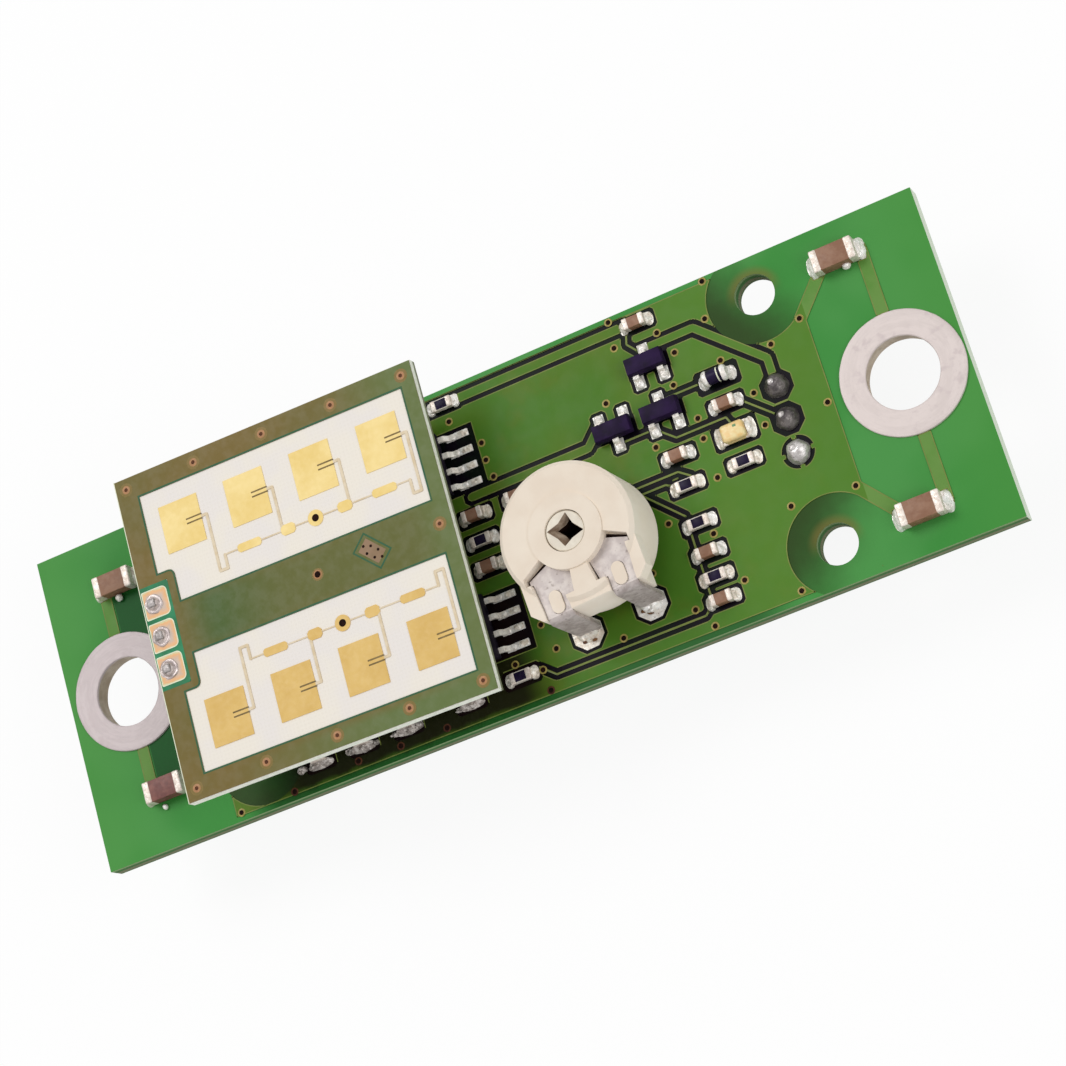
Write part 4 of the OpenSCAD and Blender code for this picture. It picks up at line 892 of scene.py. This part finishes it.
module = at(*MODULE_AT, 0, MODULE_TURN)
for node_name, mat in (("antenna_substrate", "substrate"), ("antenna_ground", "ground"), ("antenna_patches", "gold"),
                       ("antenna_pin_pads", "pin_pad"), ("shield_can", "can"), ("oscillator_transistor", "moulded"),
                       ("mixer_diode", "moulded")):
    paint(node_name, M[mat])

def paint_feed():
    """The feed lines are bare and the patches, pads and wider stretches are gold."""
    mesh = nodes["antenna_patches"].data
    mesh.materials.append(M["feed"])
    back = module.inverted()
    for polygon in mesh.polygons:
        c = back @ (polygon.center / MM)
        x, y = c.x, abs(c.y)
        patch = abs(y - 7.5) < 1.84 and any(abs(x - (-7.82 + 5.53 * i)) < 1.63 for i in range(4))
        gold = y < 5 and any(a < x < b and abs(y - 4.04) < 0.42 for a, b in GOLD_RUNS)
        if not (patch or gold or math.hypot(x - 2.48, y - 4.04) < 0.61):
            polygon.material_index = 1


first = -7.815
drop = 1.62 + 0.45
start, stop = first + drop + 0.65, first + 3 * 5.527 + drop - 0.65
inner = (first + 5.527 + drop, first + 2 * 5.527 + drop)
GOLD_RUNS = [(start + 1.08, start + 3.07), (stop - 3.07, stop - 1.08), (inner[0] - 0.17, inner[0] + 1.02), (inner[1] - 1.02, inner[1] + 0.17)]
paint_feed()

trim = Shape(M["via_ring"], M["via_shade_disc"], M["via_halo"], M["field"], M["window_edge"], M["island"], M["slot"], M["cream_line"], M["via_brown"])
GROUND_TOP = MODULE_TOP + 0.06
SPOTS = [(-11.6 + 5.79 * i, s * 11.6) for i in range(5) for s in (-1, 1)] + [(11.5, 0.16)]
for sx, sy in SPOTS:
    disc(trim, sx, sy, GROUND_TOP + 0.002, 0.52, 2, 0.3, 24, 0.004, module)
    via(trim, sx, sy, GROUND_TOP + 0.004, 0.15, 0.32, 0, 8, module)
via(trim, 1.56, 0, GROUND_TOP + 0.004, 0.24, 0.34, 0, 1, module)
disc(trim, 1.56, 0, GROUND_TOP + 0.002, 0.46, 2, 0.3, 24, 0.004, module)
for sy in (-1, 1):
    disc(trim, 2.48, sy * 4.04, GROUND_TOP + 0.003, 0.27, 1, place=module)


def frame_line(points, width, z, mat, place):
    """A thin closed line along a loop of points, on its inner side where width is positive."""
    n = len(points)
    inner = []
    for k in range(n):
        a, p, b = Vector(points[k - 1]), Vector(points[k]), Vector(points[(k + 1) % n])
        d0, d1 = (p - a).normalized(), (b - p).normalized()
        n0, n1 = Vector((-d0.y, d0.x)), Vector((-d1.y, d1.x))
        mean = (n0 + n1).normalized()
        inner.append(p + mean * width / max(0.3, mean.dot(n0)))
    verts = [(p[0], p[1], z) for p in points] + [(p.x, p.y, z) for p in inner]
    trim.add(verts, [(k, (k + 1) % n, n + (k + 1) % n, n + k) for k in range(n)], mat, place)


WINDOW = [(-10.7, 10.7), (-10.7, 4.6), (-9.85, 4.6), (-9.54, 4.53), (-9.41, 4.36), (-9.35, 4.1), (-9.35, 2.05), (11.3, 2.05), (11.3, 10.7)]
for flip in (1, -1):
    loop = [(x, flip * y) for x, y in WINDOW]
    frame_line(loop if flip > 0 else loop[::-1], -0.13, GROUND_TOP + 0.004, 4, module)

island = module @ at(6.05, 0.14, 0, -45)
half_l, half_w = 1.3, 0.85
frame_line([(-half_l, -half_w), (half_l, -half_w), (half_l, half_w), (-half_l, half_w)], 0.13, GROUND_TOP + 0.005, 4, island)
trim.bm(box_bm((-0.92, -0.56, GROUND_TOP - 0.02), (0.92, 0.56, GROUND_TOP + 0.006), 0.004, 1), 5, island)
for vx, vy in ((5.48, 0.68), (6.04, 0.52), (5.62, 0.08), (6.52, 0.08), (6.12, -0.38), (6.68, -0.52)):
    disc(trim, vx, vy, GROUND_TOP + 0.009, 0.11, 1, n=12, place=module)
for i in range(4):
    edge_x = first + 5.527 * i + 1.62
    for row in (-7.5, 7.5):
        for sy in (-0.17, 0.17):
            trim.bm(box_bm((edge_x - 1.25, row + sy - 0.05, GROUND_TOP - 0.03), (edge_x + 0.05, row + sy + 0.05, GROUND_TOP + 0.004), 0.003, 1), 6, module)
trim.make("antenna_details", slot="antenna_mask")

def rounded(x0, y0, x1, y1, r_left, r_right, n=5):
    """The outline of a rectangle with its own corner radius on each side."""
    points = []
    for x, y, r, start in ((x0, y0, r_left, 180), (x1, y0, r_right, 270), (x1, y1, r_right, 0), (x0, y1, r_left, 90)):
        cx, cy = x + math.copysign(r, (x0 + x1) / 2 - x), y + math.copysign(r, (y0 + y1) / 2 - y)
        points += [(cx + r * math.cos(math.radians(start + 90 * k / n)), cy + r * math.sin(math.radians(start + 90 * k / n))) for k in range(n + 1)]
    return points


field = Shape(M["field"], M["cream_line"])
PADS = [rounded(-12.38, k * PIN_PITCH - 1.11, -10.28, k * PIN_PITCH + 1.11, 0.12, 0.42) for k in (-1, 0, 1)]
holed_plate(field, rounded(-12.47, -3.98, -10.05, 3.98, 0.02, 0.2), PADS, MODULE_TOP + 0.01, GROUND_TOP + 0.008, 0, module)
trim_edge = [(-12.5, -12.5), (-12.44, -12.5), (-12.44, 12.5), (-12.5, 12.5)]
prism(field, trim_edge, MODULE_TOP + 0.01, GROUND_TOP + 0.014, 1, module)
for k in (-1, 0, 1):
    inner = rounded(-12.31, k * PIN_PITCH - 1.04, -10.35, k * PIN_PITCH + 1.04, 0.1, 0.36)
    holed_plate(field, PADS[k + 1], [inner], MODULE_TOP + 0.01, GROUND_TOP + 0.012, 1, module)
field.make("pin_pad_surround", slot="antenna_mask")

pins = Shape(M["dull_tin"], M["pin"])
PIN_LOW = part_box("module_pins")[0][2] / MM
for k in (-1, 0, 1):
    place = module @ at(-11.56, k * PIN_PITCH, GROUND_TOP)
    dome = [(0.76, -0.005), (0.72, 0.05), (0.62, 0.08), (0.55, 0.07), (0.5, 0.12), (0.45, 0.22), (0.4, 0.3), (0.34, 0.33), (0.0, 0.33)]
    lathe(pins, dome, 0, 36, place, 0.1, k * 4.0)
    pins.bm(box_bm((-0.32, -0.32, PIN_LOW - GROUND_TOP), (0.32, 0.32, 0.44), 0.1, 3), 1, place)
pins.make("module_pin_joints", slot="solder", stands_for=["module_pin_solder", "module_pins"])


# camera, light and stage

def camera():
    data = bpy.data.cameras.new("camera")
    data.sensor_width = 36
    data.lens = 95.61
    data.clip_start = 0.01
    data.clip_end = 10
    obj = bpy.data.objects.new("camera", data)
    bpy.context.scene.collection.objects.link(obj)
    turn = Matrix(((0.8822944, 0.3620440, 0.3008000), (-0.2730439, 0.9142052, -0.2994593), (-0.3834104, 0.1820797, 0.9054521)))
    obj.matrix_world = Matrix.Translation(Vector((63.65, -61.24, 185.14)) * MM) @ turn.to_4x4()
    bpy.context.scene.camera = obj


def lamp(name, place, target, size, power):
    data = bpy.data.lights.new(name, "AREA")
    data.shape = "DISK"
    data.size = size
    data.energy = power
    obj = bpy.data.objects.new(name, data)
    bpy.context.scene.collection.objects.link(obj)
    obj.location = Vector(place)
    obj.rotation_euler = (Vector(target) - Vector(place)).to_track_quat("-Z", "Y").to_euler()


def seen(tree):
    """1 where a ray comes from the camera, from a glossy surface or through glass."""
    path = tree.nodes.new("ShaderNodeLightPath")
    total = None
    for name in ("Is Camera Ray", "Is Glossy Ray", "Is Transmission Ray"):
        if total is None:
            total = path.outputs[name]
            continue
        n = tree.nodes.new("ShaderNodeMath")
        n.operation = "MAXIMUM"
        tree.links.new(total, n.inputs[0])
        tree.links.new(path.outputs[name], n.inputs[1])
        total = n.outputs[0]
    return total


def world():
    w = bpy.data.worlds.new("studio")
    bpy.context.scene.world = w
    w.use_nodes = True
    tree = w.node_tree
    tree.nodes.clear()
    light = tree.nodes.new("ShaderNodeBackground")
    light.inputs["Color"].default_value = (1, 1, 1, 1)
    light.inputs["Strength"].default_value = 0.5
    white = tree.nodes.new("ShaderNodeBackground")
    white.inputs["Color"].default_value = (1, 1, 1, 1)
    white.inputs["Strength"].default_value = 1.0
    mix = tree.nodes.new("ShaderNodeMixShader")
    out = tree.nodes.new("ShaderNodeOutputWorld")
    tree.links.new(seen(tree), mix.inputs[0])
    tree.links.new(light.outputs[0], mix.inputs[1])
    tree.links.new(white.outputs[0], mix.inputs[2])
    tree.links.new(mix.outputs[0], out.inputs[0])


def floor():
    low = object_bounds()[0]
    verts = [(-1500, -1500, low[2] / MM - 0.02), (1500, -1500, low[2] / MM - 0.02), (1500, 1500, low[2] / MM - 0.02), (-1500, 1500, low[2] / MM - 0.02)]
    mesh = bpy.data.meshes.new("floor")
    mesh.from_pydata([Vector(v) * MM for v in verts], [], [(0, 1, 2, 3)])
    obj = bpy.data.objects.new("floor", mesh)
    bpy.context.scene.collection.objects.link(obj)
    m = bpy.data.materials.new("floor")
    m.use_nodes = True
    tree = m.node_tree
    diffuse = tree.nodes["Principled BSDF"]
    diffuse.inputs["Base Color"].default_value = (0.93, 0.93, 0.93, 1)
    diffuse.inputs["Roughness"].default_value = 0.9
    glow = tree.nodes.new("ShaderNodeEmission")
    glow.inputs["Strength"].default_value = 1.0
    mix = tree.nodes.new("ShaderNodeMixShader")
    share = tree.nodes.new("ShaderNodeMath")
    share.operation = "MULTIPLY"
    share.inputs[1].default_value = 0.9
    tree.links.new(seen(tree), share.inputs[0])
    tree.links.new(share.outputs[0], mix.inputs[0])
    tree.links.new(diffuse.outputs[0], mix.inputs[1])
    tree.links.new(glow.outputs[0], mix.inputs[2])
    tree.links.new(mix.outputs[0], tree.nodes["Material Output"].inputs["Surface"])
    mesh.materials.append(m)
    obj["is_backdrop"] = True


# trimmer, in its own frame

trimmer = at(*TRIMMER_AT, BOARD_T, TRIMMER_TURN)
TAIL_Y = -5.41
PLATE = [(0.72, -2.66), (2.3, -1.5), (3.86, -2.12), (3.86, -2.44), (3.66, -2.44), (3.5, -4.5), (3.49, -5.16), (1.59, -5.16),
         (1.59, -4.1), (1.0, -4.1)]


def octagon(x, y, across):
    r = across / 2 / math.cos(math.pi / 8)
    return [(x + r * math.cos(math.pi / 8 + math.pi / 4 * k), y + r * math.sin(math.pi / 8 + math.pi / 4 * k)) for k in range(8)]


def oval(x, y, r, run, n=28):
    points = []
    for k in range(n):
        a = 2 * math.pi * (k + 0.5) / n
        points.append((x + r * math.cos(a), y + r * math.sin(a) + math.copysign(run / 2, math.sin(a))))
    return points


def strap(shape, x, path, t, mat, place):
    """A bent strip of sheet along points of (y, z, half width)."""
    verts, faces = [], []
    for i, (y, z, w) in enumerate(path):
        a, b = path[max(i - 1, 0)], path[min(i + 1, len(path) - 1)]
        d = Vector((b[0] - a[0], b[1] - a[1])).normalized() * t / 2
        for s in (1, -1):
            verts += [(x - w, y + s * d.y, z - s * d.x), (x + w, y + s * d.y, z - s * d.x)]
    for i in range(len(path) - 1):
        a, b = 4 * i, 4 * i + 4
        faces += [(a, b, b + 1, a + 1), (a + 2, a + 3, b + 3, b + 2), (a, a + 2, b + 2, b), (a + 1, b + 1, b + 3, a + 3)]
    n = 4 * (len(path) - 1)
    faces += [(0, 1, 3, 2), (n, n + 2, n + 3, n + 1)]
    shape.add(verts, faces, mat, place)


BEND = [(TAIL_Y + 0.3 - 0.3 * math.sin(a), 5.45 + 0.3 * math.cos(a), 0.95) for a in (math.pi / 16 * k for k in range(9))]
DROP = [(TAIL_Y, z, w) for z, w in ((4.0, 0.95), (2.5, 0.95), (1.1, 0.95), (0.8, 0.93), (0.55, 0.86), (0.35, 0.74), (0.22, 0.58), (0.15, 0.45))]
TAIL = [(TAIL_Y, z, 0.45) for z in (0.15, -1.0, -2.7)]
for side, name in ((-1, "left"), (1, "right")):
    shape = Shape(M["plate"], M["gap"], M["strap"])
    place = trimmer @ Matrix.Diagonal((side, 1, 1, 1))
    holed_plate(shape, PLATE, [oval(2.45, -4.25, 0.5, 0.75)], 5.6, 5.9, 0, place)
    # A dark sheet a little larger than each plate, on the recess floor, is painted shade in the gap round the plate.
    shade_liner = [(0.66, -2.74), (2.4, -1.2), (4.04, -2.0), (4.04, -2.54), (3.7, -2.54), (3.52, -4.5), (3.5, -5.1), (1.56, -5.1), (1.56, -4.2), (0.88, -4.2)]
    holed_plate(shape, shade_liner, [oval(2.45, -4.25, 0.48, 0.75)], 5.6, 5.62, 1, place)
    strap(shape, 2.54, [(-5.0, 5.75, 0.95)] + BEND + DROP, 0.3, 2, place)
    strap(shape, 2.54, TAIL, 0.3, 2, place)
    shape.make("terminal_" + name, slot="tinplate", stands_for=["trimmer_terminal_" + name])

LANDS = [(-2.94, -5.41, 0), (2.14, -5.41, 1), (-0.4, 5.21, 0)]
for lx, ly, bright in LANDS:
    prism(joints, octagon(lx, ly, 2.3), 0.0, 0.07, bright, trimmer)
    mound(joints, lx - 0.85, lx + 0.95, ly - 0.75, ly + 0.8, 0.5, bright, trimmer, None, lx, 0.22, 14, 14, 0.05, 0.35)
flux = Shape(M["flux"])
for fx, fy, r in ((2.0, -5.95, 0.34), (1.5, -5.7, 0.25), (-3.3, -5.95, 0.22), (-2.6, -6.1, 0.2)):
    mound(flux, fx - r, fx + r, fy - r * 0.6, fy + r * 0.6, 0.16, 0, trimmer, None, fx, 0.05, 8, 8, 0.12)
flux.make("flux_residue", slot="solder")


def star(scale, dx, dy, z):
    """The driver slot's four points and the corners between them, shrunk towards a place."""
    points = []
    for k in range(8):
        r = (1.36, 1.3, 1.36, 1.1)[k // 2] if k % 2 == 0 else 0.76
        a = math.radians(-20 + 45 * k)
        points.append((dx + scale * r * math.cos(a), dy + scale * r * math.sin(a), z))
    return points


def rotor():
    shape = Shape(M["rotor"], M["star_wall_shade"], M["star_hole_shade"])
    top, r = 6.47, 1.44
    n = 64
    verts = [(r * math.cos(2 * math.pi * k / n), r * math.sin(2 * math.pi * k / n), z) for z in (2.4, top - 0.07) for k in range(n)]
    verts += [((r - 0.06) * math.cos(2 * math.pi * k / n), (r - 0.06) * math.sin(2 * math.pi * k / n), top) for k in range(n)]
    shape.add(verts, [(j * n + k, j * n + (k + 1) % n, (j + 1) * n + (k + 1) % n, (j + 1) * n + k) for j in (0, 1) for k in range(n)], 0, trimmer)
    rim, slot = [Vector(v) for v in verts[2 * n:]], [Vector(v) for v in star(1, 0, 0, top)]
    points = rim + slot
    faces = []
    for tri in tessellate_polygon([rim, slot]):
        a, b, c = (points[i] for i in tri)
        faces.append(tri if (b - a).cross(c - a).z > 0 else tri[::-1])
    shape.add(points, faces, 0, trimmer)
    # The slot's walls carry painted shade, darkest on the deep wall and the bottom.
    levels = [star(1, 0, 0, top), star(0.86, 0.08, 0, top - 0.3), star(0.74, 0.24, 0.06, top - 0.7), star(0.66, 0.28, 0.06, top - 2.6)]
    for i, (a, b) in enumerate(zip(levels, levels[1:])):
        shape.add(a + b, [(k, 8 + k, 8 + (k + 1) % 8, (k + 1) % 8) for k in range(8)], 2 if i == 2 else 1, trimmer)
    shape.add(levels[-1], [tuple(range(8))], 2, trimmer)
    lathe(shape, [(1.44, 2.36), (3.4, 2.36), (3.4, 3.14), (1.44, 3.14)], 0, 64, trimmer)
    shape.make("rotor_head", body="rotor", slot="rotor_plastic", stands_for=["trimmer_rotor"])


rotor()
soften = nodes["trimmer_housing"].modifiers.new("edges", "BEVEL")
soften.width = 0.09 * MM
soften.segments = 3
soften.limit_method = "ANGLE"
soften.angle_limit = math.radians(35)

# stray balls of solder and lumps of tin under the module's lower edge
for bx, by, r in ((30.4, 8.81, 0.32), (-30.4, 7.16, 0.29), (-30.9, -9.49, 0.22)):
    lathe(joints, [(0.02, 0.0), (r * 0.8, r * 0.25), (r, r * 0.9), (r * 0.75, r * 1.55), (r * 0.3, r * 1.85), (0.0, r * 1.9)], 1, 20, at(bx, by, BOARD_T), 0.05, bx)
LUMPS = [(-19.5, -10.7), (-18.4, -10.85), (-17.3, -10.7), (-15.4, -10.7), (-14.3, -10.85), (-13.3, -10.75), (-11.6, -10.75), (-10.5, -10.85), (-9.7, -10.7), (-6.3, -10.8), (-5.3, -10.85)]
for i, (lx, ly) in enumerate(LUMPS):
    w, d = 0.42 + 0.14 * math.sin(i * 2.3), 0.26 + 0.08 * math.cos(i * 1.7)
    mound(joints, lx - w, lx + w, ly - d, ly + d, 0.3 + 0.12 * math.sin(i * 1.9), 2, at(0, 0, BOARD_T), None, i * 1.3, 0.25, 10, 8, 0.0, 0.3)
joints.make("solder_joints", slot="solder", stands_for=["surface_solder"])
for node_name, mat in (("trimmer_housing", "cream"), ("trimmer_wiper", "plate"), ("trimmer_track", "carbon"),
                       ("trimmer_collector", "plate")):
    paint(node_name, M[mat])

camera()
world()
lamp("key", (-0.25, 0.25, 0.55), (0, 0, 0), 0.35, 1.8)
lamp("fill", (0.45, -0.2, 0.4), (0, 0, 0), 0.4, 1.05)
floor()
bpy.context.scene.view_settings.view_transform = "Standard"
